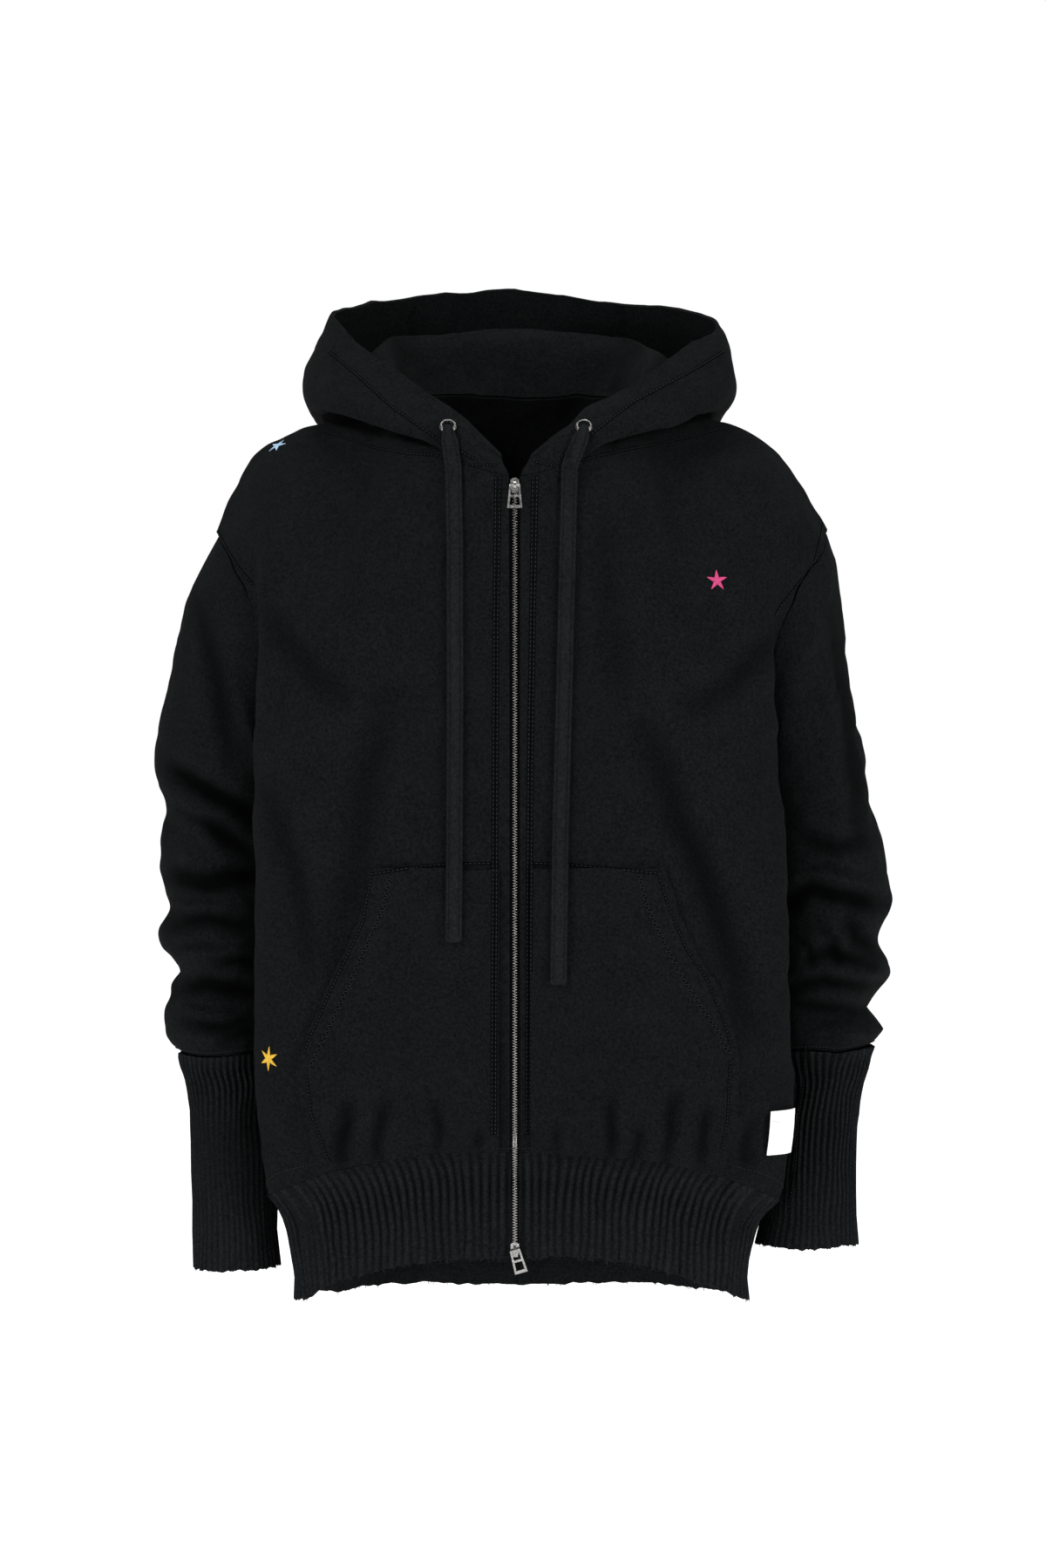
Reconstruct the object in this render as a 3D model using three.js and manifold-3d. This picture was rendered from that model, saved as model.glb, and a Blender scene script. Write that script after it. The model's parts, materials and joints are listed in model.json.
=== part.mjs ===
// Zip up hoodie in heavy fleece, worn open-necked on a general figure.
// Millimetres, +Z up, the front faces -Y. The origin is the middle of the neck opening.
// Right and left are the wearer's: the right side has negative X.
import * as THREE from 'three';
import Module from 'manifold-3d';
import { mergeVertices } from 'three/addons/utils/BufferGeometryUtils.js';

const wasm = await Module();
wasm.setup();

// Cloth and seams
const clothThickness = 2.2;
const ribThickness = 2.4;
const ribHeight = 1.1;
const seamGap = 0.3;
const hemRibPitch = 6.7;
const cuffRibPitch = 5.0;

// Zip
const zipHalfGap = 4.2;
const chainWidth = 5.2;
const chainDepth = 2.4;
const tapeWidth = 13;
const tapeThickness = 0.8;
const zipTopZ = -86;
const zipBottomZ = -712;

// Drawcords and eyelets
const cordWidth = 14;
const cordThickness = 4;
const eyeletOuter = 7.2;
const eyeletInner = 4.4;
const eyeletDepth = 2.2;

// Body rings from the hem seam up to the underarm
const bodyRings = [
  { z: -688, right: 201, left: 215, front: -104, back: 106, wide: -58 },
  { z: -664, right: 209, left: 224, front: -111, back: 113, wide: -64 },
  { z: -631, right: 213, left: 229, front: -122, back: 119, wide: -70 },
  { z: -604, right: 216, left: 231, front: -137, back: 121, wide: -74 },
  { z: -555, right: 218, left: 232, front: -142, back: 123, wide: -76 },
  { z: -480, right: 218, left: 229, front: -142, back: 125, wide: -78 },
  { z: -407, right: 217, left: 226, front: -142, back: 127, wide: -78 },
  { z: -300, right: 219, left: 221, front: -141, back: 129, wide: -74 },
];

// Soft upright folds on the body: where they start and end, how deep and how wide
const bodyFolds = [
  { side: 1, topX: 105, topZ: -297, lowX: 196, lowZ: -560, depth: 6, width: 24 },
  { side: -1, topX: 108, topZ: -270, lowX: 155, lowZ: -480, depth: 3, width: 24 },
];

// Neck seam from the zip to the middle of the back, for one half
const neckSeam = [
  { x: 5, y: -138, z: -78 },
  { x: 46, y: -127, z: -67 },
  { x: 76, y: -104, z: -47 },
  { x: 94, y: -66, z: -27 },
  { x: 100, y: -20, z: -10 },
  { x: 90, y: 28, z: -3 },
  { x: 58, y: 62, z: 0 },
  { x: 0.3, y: 74, z: 1 },
];
const shoulderStation = 4;

// Shoulder line from the neck to the tip, then the armhole down to the underarm
const shoulders = {
  right: [[100, -20, -10.5], [140, -12, -22], [171, -8, -31], [203, -4, -41], [226, 0, -62], [253, 4, -118]],
  left: [[100, -20, -10.5], [140, -12, -22], [174, -8, -27], [206, -4, -39], [234, 0, -62], [264, 4, -115]],
};
const armholeFront = {
  right: [[253, 4, -118], [236, -42, -147], [220, -63, -176], [210, -58, -232], [199, -30, -282]],
  left: [[264, 4, -115], [256, -40, -142], [228, -64, -178], [213, -58, -235], [200, -30, -282]],
};
const armholeBack = {
  right: [[253, 4, -118], [240, 44, -143], [222, 68, -176], [206, 66, -232], [196, 34, -282]],
  left: [[264, 4, -115], [250, 44, -141], [228, 68, -176], [208, 66, -232], [196, 34, -282]],
};

// Sleeve rings below the armhole: heights and X of the outer and inner sides, then the front and back
const sleeveRings = {
  right: [
    { outerZ: -165, outerX: 271, innerZ: -322, innerX: 192, front: -60, back: 84 },
    { outerZ: -205, outerX: 285, innerZ: -338, innerX: 190, front: -52, back: 95 },
    { outerZ: -251, outerX: 297, innerZ: -354, innerX: 189, front: -45, back: 102 },
    { outerZ: -300, outerX: 311, innerZ: -370, innerX: 189, front: -41, back: 107 },
    { outerZ: -328, outerX: 311, innerZ: -384, innerX: 189, front: -40, back: 108 },
    { outerZ: -343, outerX: 302, innerZ: -394, innerX: 190, front: -42, back: 106 },
    { outerZ: -377, outerX: 305, innerZ: -410, innerX: 190, front: -46, back: 108 },
    { outerZ: -414, outerX: 303, innerZ: -428, innerX: 191, front: -47, back: 106 },
    { outerZ: -434, outerX: 295, innerZ: -442, innerX: 193, front: -43, back: 100 },
    { outerZ: -456, outerX: 307, innerZ: -458, innerX: 191, front: -49, back: 102 },
    { outerZ: -474, outerX: 302, innerZ: -476, innerX: 192, front: -48, back: 96 },
    { outerZ: -490, outerX: 287, innerZ: -492, innerX: 196, front: -42, back: 85 },
    { outerZ: -510, outerX: 298, innerZ: -512, innerX: 194, front: -48, back: 84 },
    { outerZ: -534, outerX: 301, innerZ: -535, innerX: 195, front: -50, back: 76 },
    { outerZ: -550, outerX: 296, innerZ: -550, innerX: 199, front: -47, back: 64 },
    { outerZ: -559, outerX: 284, innerZ: -559, innerX: 205, front: -41, back: 48 },
  ],
  left: [
    { outerZ: -165, outerX: 274, innerZ: -322, innerX: 195, front: -60, back: 84 },
    { outerZ: -222, outerX: 285, innerZ: -338, innerX: 194, front: -52, back: 95 },
    { outerZ: -274, outerX: 293, innerZ: -356, innerX: 194, front: -46, back: 102 },
    { outerZ: -318, outerX: 303, innerZ: -372, innerX: 195, front: -42, back: 107 },
    { outerZ: -346, outerX: 304, innerZ: -386, innerX: 196, front: -44, back: 108 },
    { outerZ: -385, outerX: 318, innerZ: -408, innerX: 197, front: -47, back: 110 },
    { outerZ: -414, outerX: 322, innerZ: -426, innerX: 198, front: -46, back: 108 },
    { outerZ: -439, outerX: 325, innerZ: -442, innerX: 198, front: -44, back: 104 },
    { outerZ: -462, outerX: 310, innerZ: -464, innerX: 200, front: -50, back: 98 },
    { outerZ: -486, outerX: 323, innerZ: -487, innerX: 199, front: -58, back: 96 },
    { outerZ: -504, outerX: 318, innerZ: -505, innerX: 200, front: -52, back: 90 },
    { outerZ: -521, outerX: 304, innerZ: -521, innerX: 204, front: -44, back: 80 },
    { outerZ: -538, outerX: 316, innerZ: -538, innerX: 203, front: -48, back: 76 },
    { outerZ: -547, outerX: 313, innerZ: -547, innerX: 205, front: -46, back: 68 },
    { outerZ: -555, outerX: 302, innerZ: -555, innerX: 210, front: -41, back: 56 },
  ],
};

// Slanted troughs across the front and back of the sleeves
const sleeveFolds = {
  right: [
    { outerZ: -315, innerZ: -362, face: 1, depth: 7, width: 11 },
    { outerZ: -362, innerZ: -394, face: 1, depth: 5, width: 8 },
    { outerZ: -404, innerZ: -416, face: 1, depth: 5, width: 9 },
    { outerZ: -440, innerZ: -486, face: -1, depth: 6, width: 10 },
    { outerZ: -512, innerZ: -507, face: 1, depth: 6, width: 7 },
    { outerZ: -395, innerZ: -372, face: -1, depth: 6, width: 11 },
    { outerZ: -345, innerZ: -330, face: -1, depth: 5, width: 11 },
    { outerZ: -520, innerZ: -530, face: -1, depth: 5, width: 8 },
  ],
  left: [
    { outerZ: -432, innerZ: -434, face: 1, depth: 8, width: 8 },
    { outerZ: -402, innerZ: -384, face: 1, depth: 4, width: 10 },
    { outerZ: -505, innerZ: -500, face: 1, depth: 6, width: 7 },
    { outerZ: -458, innerZ: -500, face: -1, depth: 6, width: 10 },
    { outerZ: -405, innerZ: -380, face: -1, depth: 6, width: 11 },
    { outerZ: -355, innerZ: -335, face: -1, depth: 5, width: 11 },
    { outerZ: -525, innerZ: -535, face: -1, depth: 5, width: 8 },
  ],
};

// Cuff rings from the sleeve seam to the raw edge
const cuffRings = {
  right: [
    { z: -559.8, outerX: 287, innerX: 204, front: -43, back: 46 },
    { z: -573, outerX: 288, innerX: 205, front: -43, back: 42 },
    { z: -586, outerX: 277, innerX: 206, front: -42, back: 34 },
    { z: -629, outerX: 273, innerX: 205, front: -44, back: 28 },
    { z: -736, outerX: 273, innerX: 198, front: -60, back: 16 },
  ],
  left: [
    { z: -556.5, outerX: 307, innerX: 210, front: -43, back: 50 },
    { z: -567, outerX: 302, innerX: 212, front: -43, back: 44 },
    { z: -592, outerX: 295, innerX: 216, front: -43, back: 36 },
    { z: -629, outerX: 290, innerX: 217, front: -45, back: 30 },
    { z: -718, outerX: 290, innerX: 206, front: -58, back: 22 },
  ],
};

// Hem band: its height, and the ring that it draws in to below the seam
const hemHeight = 87;
const hemRing = { right: 184, left: 197, front: -113, back: 101, wide: -45 };
const hemRows = [
  { down: 0.6, drawn: 0 },
  { down: 22, drawn: 0.85 },
  { down: hemHeight, drawn: 1 },
];

// Hood stations from the zip to the middle of the back: the roll round the neck, the floor of the
// hanging bag, its outer wall and the rim of the opening
const hoodStations = {
  right: [
    { roll: [6, -137.5, -75], floor: [8, -137, -71], wall: [10, -135, -66], rim: [11, -131, -60] },
    { roll: [50, -126, -62], floor: [52, -125.5, -56], wall: [51, -121, -42], rim: [43, -109, -29] },
    { roll: [84, -102, -30], floor: [99, -108, -43], wall: [99, -103, -27], rim: [80, -84, -4] },
    { roll: [106, -62, 2], floor: [140, -74, -27], wall: [146, -66, -6], rim: [124, -46, 33] },
    { roll: [116, -12, 30], floor: [162, -22, -18], wall: [174, -14, 8], rim: [156, 16, 63] },
    { roll: [108, 44, 46], floor: [160, 60, -30], wall: [180, 66, 14], rim: [143, 66, 78] },
    { roll: [72, 86, 51], floor: [112, 148, -96], wall: [132, 164, -16], rim: [92, 122, 92] },
    { roll: [0.3, 100, 54], floor: [0.3, 170, -140], wall: [0.3, 196, -30], rim: [0.3, 146, 101] },
  ],
  left: [
    { roll: [6, -137.5, -75], floor: [8, -137, -71], wall: [11, -135, -66], rim: [14, -131, -60] },
    { roll: [50, -126, -62], floor: [52, -125.5, -56], wall: [52, -121, -42], rim: [48, -110, -30] },
    { roll: [84, -102, -30], floor: [103, -108, -43], wall: [106, -103, -26], rim: [88, -84, -4] },
    { roll: [106, -62, 2], floor: [145, -74, -27], wall: [154, -66, -6], rim: [134, -46, 29] },
    { roll: [116, -12, 30], floor: [168, -22, -18], wall: [187, -14, 6], rim: [172, 16, 56] },
    { roll: [108, 44, 46], floor: [164, 60, -30], wall: [186, 66, 12], rim: [158, 62, 73] },
    { roll: [72, 86, 51], floor: [114, 148, -96], wall: [136, 164, -16], rim: [96, 122, 86] },
    { roll: [0.3, 100, 54], floor: [0.3, 170, -140], wall: [0.3, 196, -30], rim: [0.3, 146, 101] },
  ],
};
const bandStart = 0.86;
const bandHeight = 0.9;

const fabricBlack = new THREE.MeshStandardMaterial({ color: 0x161717, roughness: 0.95, metalness: 0 });
const ribBlack = new THREE.MeshStandardMaterial({ color: 0x141515, roughness: 0.95, metalness: 0 });
const cordBlack = new THREE.MeshStandardMaterial({ color: 0x17181a, roughness: 0.9, metalness: 0 });
const tapeBlack = new THREE.MeshStandardMaterial({ color: 0x101010, roughness: 0.8, metalness: 0 });
const silver = new THREE.MeshStandardMaterial({ color: 0xc9c9c6, roughness: 0.3, metalness: 1 });
const labelWhite = new THREE.MeshStandardMaterial({ color: 0xe9e8e4, roughness: 0.7, metalness: 0 });

const hoodie = new THREE.Group();

function add(name, geometry, material) {
  const mesh = new THREE.Mesh(geometry, material);
  mesh.name = name;
  hoodie.add(mesh);
  return mesh;
}

const mix = (a, b, t) => a + (b - a) * t;
const smooth = (t) => t * t * (3 - 2 * t);
const clamp = (t) => Math.min(1, Math.max(0, t));

// A smooth curve through table values at equal steps
function through(values, t) {
  const last = values.length - 1;
  const at = Math.min(last - 1, Math.max(0, Math.floor(t * last)));
  const f = t * last - at;
  const a = values[Math.max(0, at - 1)];
  const b = values[at];
  const c = values[at + 1];
  const d = values[Math.min(last, at + 2)];
  const slopeB = at === 0 ? c - b : (c - a) / 2;
  const slopeC = at + 1 === last ? c - b : (d - b) / 2;
  const f2 = f * f;
  const f3 = f2 * f;
  return (2 * f3 - 3 * f2 + 1) * b + (f3 - 2 * f2 + f) * slopeB
    + (3 * f2 - 2 * f3) * c + (f3 - f2) * slopeC;
}

const curveAt = (points, t) => new THREE.Vector3(
  through(points.map((p) => p[0]), t),
  through(points.map((p) => p[1]), t),
  through(points.map((p) => p[2]), t),
);

function rowAt(rows, t) {
  const row = {};
  for (const key of Object.keys(rows[0])) row[key] = through(rows.map((r) => r[key]), t);
  return row;
}

// The row of a table at a height, whose heights fall or rise steadily
function rowAtHeight(rows, z) {
  const rising = rows[1].z > rows[0].z;
  let at = 0;
  while (at < rows.length - 2 && (rising ? rows[at + 1].z < z : rows[at + 1].z > z)) at += 1;
  const f = (z - rows[at].z) / (rows[at + 1].z - rows[at].z);
  return rowAt(rows, (at + f) / (rows.length - 1));
}

// Directions out of a grid of points, by its neighbours
function gridNormals(points, closed) {
  const rows = points.length;
  const columns = points[0].length;
  return points.map((row, i) => row.map((point, j) => {
    const up = points[Math.min(rows - 1, i + 1)][j].clone().sub(points[Math.max(0, i - 1)][j]);
    const before = closed ? (j + columns - 1) % columns : Math.max(0, j - 1);
    const after = closed ? (j + 1) % columns : Math.min(columns - 1, j + 1);
    const along = row[after].clone().sub(row[before]);
    return along.cross(up).normalize();
  }));
}

// A closed cloth wall between an outer and an inner grid, which may have fewer columns
function wallFromGrids(outer, inner, closed) {
  const positions = [];
  const face = (a, b, c) => positions.push(...a.toArray(), ...b.toArray(), ...c.toArray());
  const skin = (grid, flip) => {
    const columns = grid[0].length;
    for (let i = 0; i < grid.length - 1; i += 1) {
      for (let j = 0; j < (closed ? columns : columns - 1); j += 1) {
        const k = (j + 1) % columns;
        const corners = [grid[i][j], grid[i][k], grid[i + 1][k], grid[i + 1][j]];
        if (flip) corners.reverse();
        face(corners[0], corners[1], corners[2]);
        face(corners[0], corners[2], corners[3]);
      }
    }
  };
  const rim = (edge, inside, flip) => {
    const ratio = (edge.length - (closed ? 0 : 1)) / (inside.length - (closed ? 0 : 1));
    const steps = closed ? inside.length : inside.length - 1;
    for (let j = 0; j < steps; j += 1) {
      const a = inside[j];
      const b = inside[(j + 1) % inside.length];
      const middle = Math.ceil(ratio / 2);
      for (let k = 0; k < ratio; k += 1) {
        const p = edge[j * ratio + k];
        const q = edge[(j * ratio + k + 1) % edge.length];
        const hub = k < middle ? a : b;
        if (flip) face(q, p, hub);
        else face(p, q, hub);
      }
      const joint = edge[(j * ratio + middle) % edge.length];
      if (flip) face(a, b, joint);
      else face(b, a, joint);
    }
  };
  skin(outer, false);
  skin(inner, true);
  rim(outer[0], inner[0], true);
  rim(outer[outer.length - 1], inner[inner.length - 1], false);
  if (!closed) {
    const side = (j, m, flip) => {
      for (let i = 0; i < outer.length - 1; i += 1) {
        const a = outer[i][j];
        const b = outer[i + 1][j];
        const c = inner[i + 1][m];
        const d = inner[i][m];
        if (flip) {
          face(a, b, c);
          face(a, c, d);
        } else {
          face(c, b, a);
          face(d, c, a);
        }
      }
    };
    side(0, 0, true);
    side(outer[0].length - 1, inner[0].length - 1, false);
  }
  const geometry = new THREE.BufferGeometry();
  geometry.setAttribute('position', new THREE.Float32BufferAttribute(positions, 3));
  return geometry;
}

function wall(points, thickness, closed, normals = gridNormals(points, closed)) {
  const inner = points.map((row, i) => row.map(
    (point, j) => point.clone().addScaledVector(normals[i][j], -thickness),
  ));
  return wallFromGrids(points, inner, closed);
}

// A body ring's point: the angle runs from the front over the wearer's left to the back
function ringPoint(ring, angle) {
  const turn = Math.atan2(Math.sin(angle), Math.cos(angle));
  const side = Math.sin(turn);
  const face = Math.cos(turn);
  const half = side < 0 ? ring.right : ring.left;
  const depth = face > 0 ? ring.wide - ring.front : ring.back - ring.wide;
  const power = face > 0 ? 0.78 : 0.95;
  const backAngle = clamp((Math.abs(turn) - Math.PI / 2) / (Math.PI / 3));
  const nest = 1 - 0.055 * Math.sin(Math.PI * backAngle) ** 2;
  return new THREE.Vector3(
    Math.sign(side) * half * nest * Math.abs(side) ** power,
    ring.wide - Math.sign(face) * depth * Math.abs(face) ** power,
    ring.z,
  );
}

// Folds press the cloth in along a slanted line, and fade at its ends
function bodyFoldDepth(x, z) {
  let depth = 0;
  for (const fold of bodyFolds) {
    const along = (fold.topZ - z) / (fold.topZ - fold.lowZ);
    const line = fold.side * mix(fold.topX, fold.lowX, along);
    const fade = smooth(clamp(along * 4)) * smooth(clamp((1.15 - along) * 4));
    depth += fold.depth * fade * Math.exp(-(((x - line) / fold.width) ** 2));
  }
  return depth;
}

const frontEdgeAngle = Math.asin((zipHalfGap / 216) ** (1 / 0.78));
const seamAngle = (110 * Math.PI) / 180;
const underarmZ = -300;
const lowerShare = 0.56;
const neckShare = 0.42;

// The hem seam drops from the front to the sides, and a little more to the back
function hemSeamZ(angle) {
  const across = Math.sin(angle) ** 2;
  return Math.cos(angle) > 0 ? -631 - 44 * across : -675 - 11 * (1 - across);
}

function lowerBody(angle, z) {
  const point = ringPoint(rowAtHeight(bodyRings, z), angle);
  if (Math.cos(angle) > 0) point.y += bodyFoldDepth(point.x, z);
  return point;
}

function topEdge(sideName, station, front) {
  const start = front ? 0 : neckSeam.length - 1;
  if (station < neckShare) {
    const t = mix(start, shoulderStation, station / neckShare) / (neckSeam.length - 1);
    const p = rowAt(neckSeam, t);
    return new THREE.Vector3(p.x, p.y, p.z - 0.5);
  }
  return curveAt(shoulders[sideName], (station - neckShare) / (1 - neckShare));
}

// The upper panel rises from the underarm ring to the neck and shoulder
function upperBody(sideName, c, t, front) {
  const sign = sideName === 'right' ? -1 : 1;
  const angle = front ? mix(frontEdgeAngle, seamAngle, c) : mix(Math.PI, seamAngle, c);
  const low = lowerBody(sign * angle, underarmZ);
  low.x = Math.abs(low.x);
  const high = topEdge(sideName, c, front);
  const turn = smooth(clamp(c / 0.4));
  const rise = new THREE.Vector3(0, 0, front ? 300 : 330);
  const arrive = front
    ? new THREE.Vector3(0, mix(4, 210, turn), mix(190, 0, turn))
    : new THREE.Vector3(0, mix(-150, -210, turn), mix(150, 0, turn));
  const t2 = t * t;
  const t3 = t2 * t;
  return new THREE.Vector3()
    .addScaledVector(low, 2 * t3 - 3 * t2 + 1)
    .addScaledVector(rise, t3 - 2 * t2 + t)
    .addScaledVector(high, 3 * t2 - 2 * t3)
    .addScaledVector(arrive, t3 - t2);
}

// A front or back panel's point: c runs from the middle to the side, v from the hem to the top
function panelPoint(sideName, c, v, front) {
  const sign = sideName === 'right' ? -1 : 1;
  const angle = front ? mix(frontEdgeAngle, seamAngle, c) : mix(Math.PI, seamAngle, c);
  if (v < lowerShare) {
    const z = mix(hemSeamZ(angle), underarmZ, v / lowerShare);
    return lowerBody(sign * angle, z);
  }
  const t = (v - lowerShare) / (1 - lowerShare);
  const point = upperBody(sideName, c, t, front);
  const underarm = lowerBody(sign * seamAngle, underarmZ);
  const edge = [...(front ? armholeFront : armholeBack)[sideName], [Math.abs(underarm.x), underarm.y, underarmZ]];
  const miss = curveAt(edge, 1 - t).sub(upperBody(sideName, 1, t, front));
  point.addScaledVector(miss, c ** 3);
  point.x *= sign;
  if (front) point.y += bodyFoldDepth(point.x, point.z);
  return point;
}

function panelNormal(sideName, c, v, front) {
  const step = 0.004;
  const clockwise = (sideName === 'right') === front ? -1 : 1;
  const along = panelPoint(sideName, Math.min(1, c + step), v, front)
    .sub(panelPoint(sideName, Math.max(0, c - step), v, front));
  const up = panelPoint(sideName, c, Math.min(1, v + step), front)
    .sub(panelPoint(sideName, c, Math.max(0, v - step), front));
  return along.cross(up).multiplyScalar(clockwise).normalize();
}

const spread = (count, from = 0, to = 1) => Array.from({ length: count + 1 }, (_, i) => mix(from, to, i / count));
const armholeSteps = 9;
const neckSteps = 6;
const panelHeights = [...spread(9).map((t) => lowerShare * t ** 1.4), ...spread(armholeSteps, lowerShare, 1).slice(1)];
const across = [...spread(neckSteps, 0, neckShare), ...spread(6, neckShare, 1).slice(1)];

// A panel over columns given as pairs of side and place, in order round the body
function panel(columns, front) {
  const points = [];
  const normals = [];
  panelHeights.forEach((v, i) => {
    const row = columns.map(([sideName, c]) => panelPoint(sideName, c, v, front));
    const directions = columns.map(([sideName, c]) => panelNormal(sideName, c, v, front));
    const last = columns.length - 1;
    if (columns[0][1] === 1) row[0].addScaledVector(row[1].clone().sub(row[0]).normalize(), seamGap / 2);
    if (columns[last][1] === 1) {
      row[last].addScaledVector(row[last - 1].clone().sub(row[last]).normalize(), seamGap / 2);
    }
    if (i === panelHeights.length - 1) {
      directions.forEach((direction, j) => {
        if (columns[j][1] >= neckShare) {
          direction.y = 0;
          direction.normalize();
          row[j].y += front ? -seamGap / 2 : seamGap / 2;
        }
      });
    }
    points.push(row);
    normals.push(directions);
  });
  return wall(points, clothThickness, false, normals);
}

function addPanels() {
  const outwards = (sideName) => across.map((c) => [sideName, c]);
  const inwards = (sideName) => outwards(sideName).reverse();
  add('front_right', panel(inwards('right'), true), fabricBlack);
  add('front_left', panel(outwards('left'), true), fabricBlack);
  add('back', panel([...inwards('left'), ...outwards('right').slice(1)], false), fabricBlack);
}

// Angles that part a ring into equal lengths
function evenAngles(ringAt, from, to, count) {
  const fine = spread(count * 8, from, to);
  const lengths = [0];
  for (let i = 1; i < fine.length; i += 1) {
    lengths.push(lengths[i - 1] + ringAt(fine[i]).distanceTo(ringAt(fine[i - 1])));
  }
  const total = lengths[lengths.length - 1];
  return spread(count).map((share) => {
    const goal = share * total;
    let at = lengths.findIndex((length) => length >= goal);
    at = at < 1 ? 1 : at;
    const f = (goal - lengths[at - 1]) / (lengths[at] - lengths[at - 1]);
    return mix(fine[at - 1], fine[at], f);
  });
}

function girthOf(ringAt, from, to) {
  const points = spread(90, from, to).map(ringAt);
  return points.slice(1).reduce((sum, point, i) => sum + point.distanceTo(points[i]), 0);
}

// Ribs: each second column lies lower, over a plain inside with a quarter of the columns
function ribWall(points, normals, closed) {
  const outer = points.map((row, i) => row.map(
    (point, j) => point.clone().addScaledVector(normals[i][j], j % 2 ? -ribHeight : 0),
  ));
  const inner = points.map((row, i) => row
    .map((point, j) => point.clone().addScaledVector(normals[i][j], -ribThickness))
    .filter((_, j) => j % 4 === 0));
  return wallFromGrids(outer, inner, closed);
}

// The panels' lower edge at an angle, on the straight lines between their columns
function hemSeam(angle) {
  const turn = Math.atan2(Math.sin(angle), Math.cos(angle));
  const sideName = turn < 0 ? 'right' : 'left';
  const front = Math.abs(turn) < seamAngle;
  const start = front ? frontEdgeAngle : Math.PI;
  const c = clamp((Math.abs(turn) - start) / (seamAngle - start));
  let at = 0;
  while (at < across.length - 2 && across[at + 1] < c) at += 1;
  const f = (c - across[at]) / (across[at + 1] - across[at]);
  const pick = (place) => place(sideName, across[at], 0, front).lerp(place(sideName, across[at + 1], 0, front), f);
  return { point: pick(panelPoint), normal: pick(panelNormal) };
}

function hemPoint(angle, row) {
  const seam = hemSeam(angle).point;
  const seamZ = seam.z;
  seam.lerp(ringPoint({ ...hemRing, z: seamZ }, angle), row.drawn);
  seam.z = seamZ - row.down;
  return seam;
}

function addHem() {
  const middle = (angle) => hemPoint(angle, hemRows[1]);
  const end = 2 * Math.PI - frontEdgeAngle;
  const ribs = 2 * Math.round(girthOf(middle, frontEdgeAngle, end) / hemRibPitch / 2);
  const angles = evenAngles(middle, frontEdgeAngle, end, ribs * 2);
  const points = [...hemRows].reverse().map((row) => angles.map((angle) => hemPoint(angle, row)));
  const normals = gridNormals(points, false);
  normals[normals.length - 1] = angles.map((angle) => hemSeam(angle).normal);
  add('hem_rib', ribWall(points, normals, false), ribBlack);
}

// A sleeve or cuff ring: the angle runs from the outer side over the front, for the wearer's right
function tubePoint(sideName, ring, angle) {
  const sign = sideName === 'right' ? -1 : 1;
  const lean = (1 + Math.cos(angle)) / 2;
  return new THREE.Vector3(
    sign * mix(ring.innerX, ring.outerX, lean),
    mix(ring.back, ring.front, (1 + Math.sin(angle)) / 2),
    mix(ring.innerZ ?? ring.z, ring.outerZ ?? ring.z, lean),
  );
}

// Sleeves and cuffs keep just clear of the body's side
const bodyClearance = 4.5;

function clearOfBody(sideName, point) {
  const sign = sideName === 'right' ? -1 : 1;
  const ring = rowAtHeight(bodyRings, Math.min(underarmZ, Math.max(bodyRings[0].z, point.z)));
  const side = spread(24, Math.PI / 2, Math.PI).map((angle) => ringPoint(ring, sign * angle));
  let at = 1;
  while (at < side.length - 1 && side[at].y < point.y) at += 1;
  const f = clamp((point.y - side[at - 1].y) / (side[at].y - side[at - 1].y));
  const least = mix(Math.abs(side[at - 1].x), Math.abs(side[at].x), f) + bodyClearance;
  const drawnIn = clamp((hemSeamZ(Math.PI / 2) - point.z) / 12);
  if (Math.abs(point.x) < least && drawnIn === 0) point.x = sign * least;
  return point;
}

function sleeveFoldDepth(sideName, angle, ring) {
  const lean = (1 + Math.cos(angle)) / 2;
  const z = mix(ring.innerZ, ring.outerZ, lean);
  let depth = 0;
  for (const fold of sleeveFolds[sideName]) {
    const face = clamp(fold.face * Math.sin(angle) * 1.4 + 0.25);
    const line = mix(fold.innerZ, fold.outerZ, lean);
    depth += fold.depth * smooth(face) * Math.exp(-(((z - line) / fold.width) ** 2));
  }
  return depth;
}

const sleeveColumns = 2 * armholeSteps;
const sleeveRows = 25;

// The sleeve's first loop is the armhole, from the shoulder tip over the front and back again
function armholeLoop(sideName, offset) {
  const half = sleeveColumns / 2;
  const sign = sideName === 'right' ? -1 : 1;
  return Array.from({ length: sleeveColumns }, (_, k) => {
    const front = k < half;
    const t = k <= half ? k / half : (sleeveColumns - k) / half;
    const v = mix(1, lowerShare, t);
    return {
      point: panelPoint(sideName, 1, v, front)
        .add(new THREE.Vector3(sign * offset * 0.8, 0, -offset * (0.6 + 6 * t ** 6))),
      normal: panelNormal(sideName, 1, v, front),
    };
  });
}

function sleeveGrid(sideName) {
  const loop = armholeLoop(sideName, seamGap * 1.6);
  const rings = sleeveRings[sideName];
  const grid = spread(sleeveRows - 1).map((t) => {
    const ring = rowAt(rings, t);
    return Array.from({ length: sleeveColumns }, (_, k) => {
      const angle = (2 * Math.PI * k) / sleeveColumns;
      const point = tubePoint(sideName, ring, angle);
      const middle = tubePoint(sideName, ring, angle).lerp(tubePoint(sideName, ring, angle + Math.PI), 0.5);
      const depth = t > 0.97 ? 0 : sleeveFoldDepth(sideName, angle, ring);
      point.addScaledVector(middle.sub(point).setZ(0).normalize(), depth);
      return clearOfBody(sideName, point);
    });
  });
  return { loop, grid };
}

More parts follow.
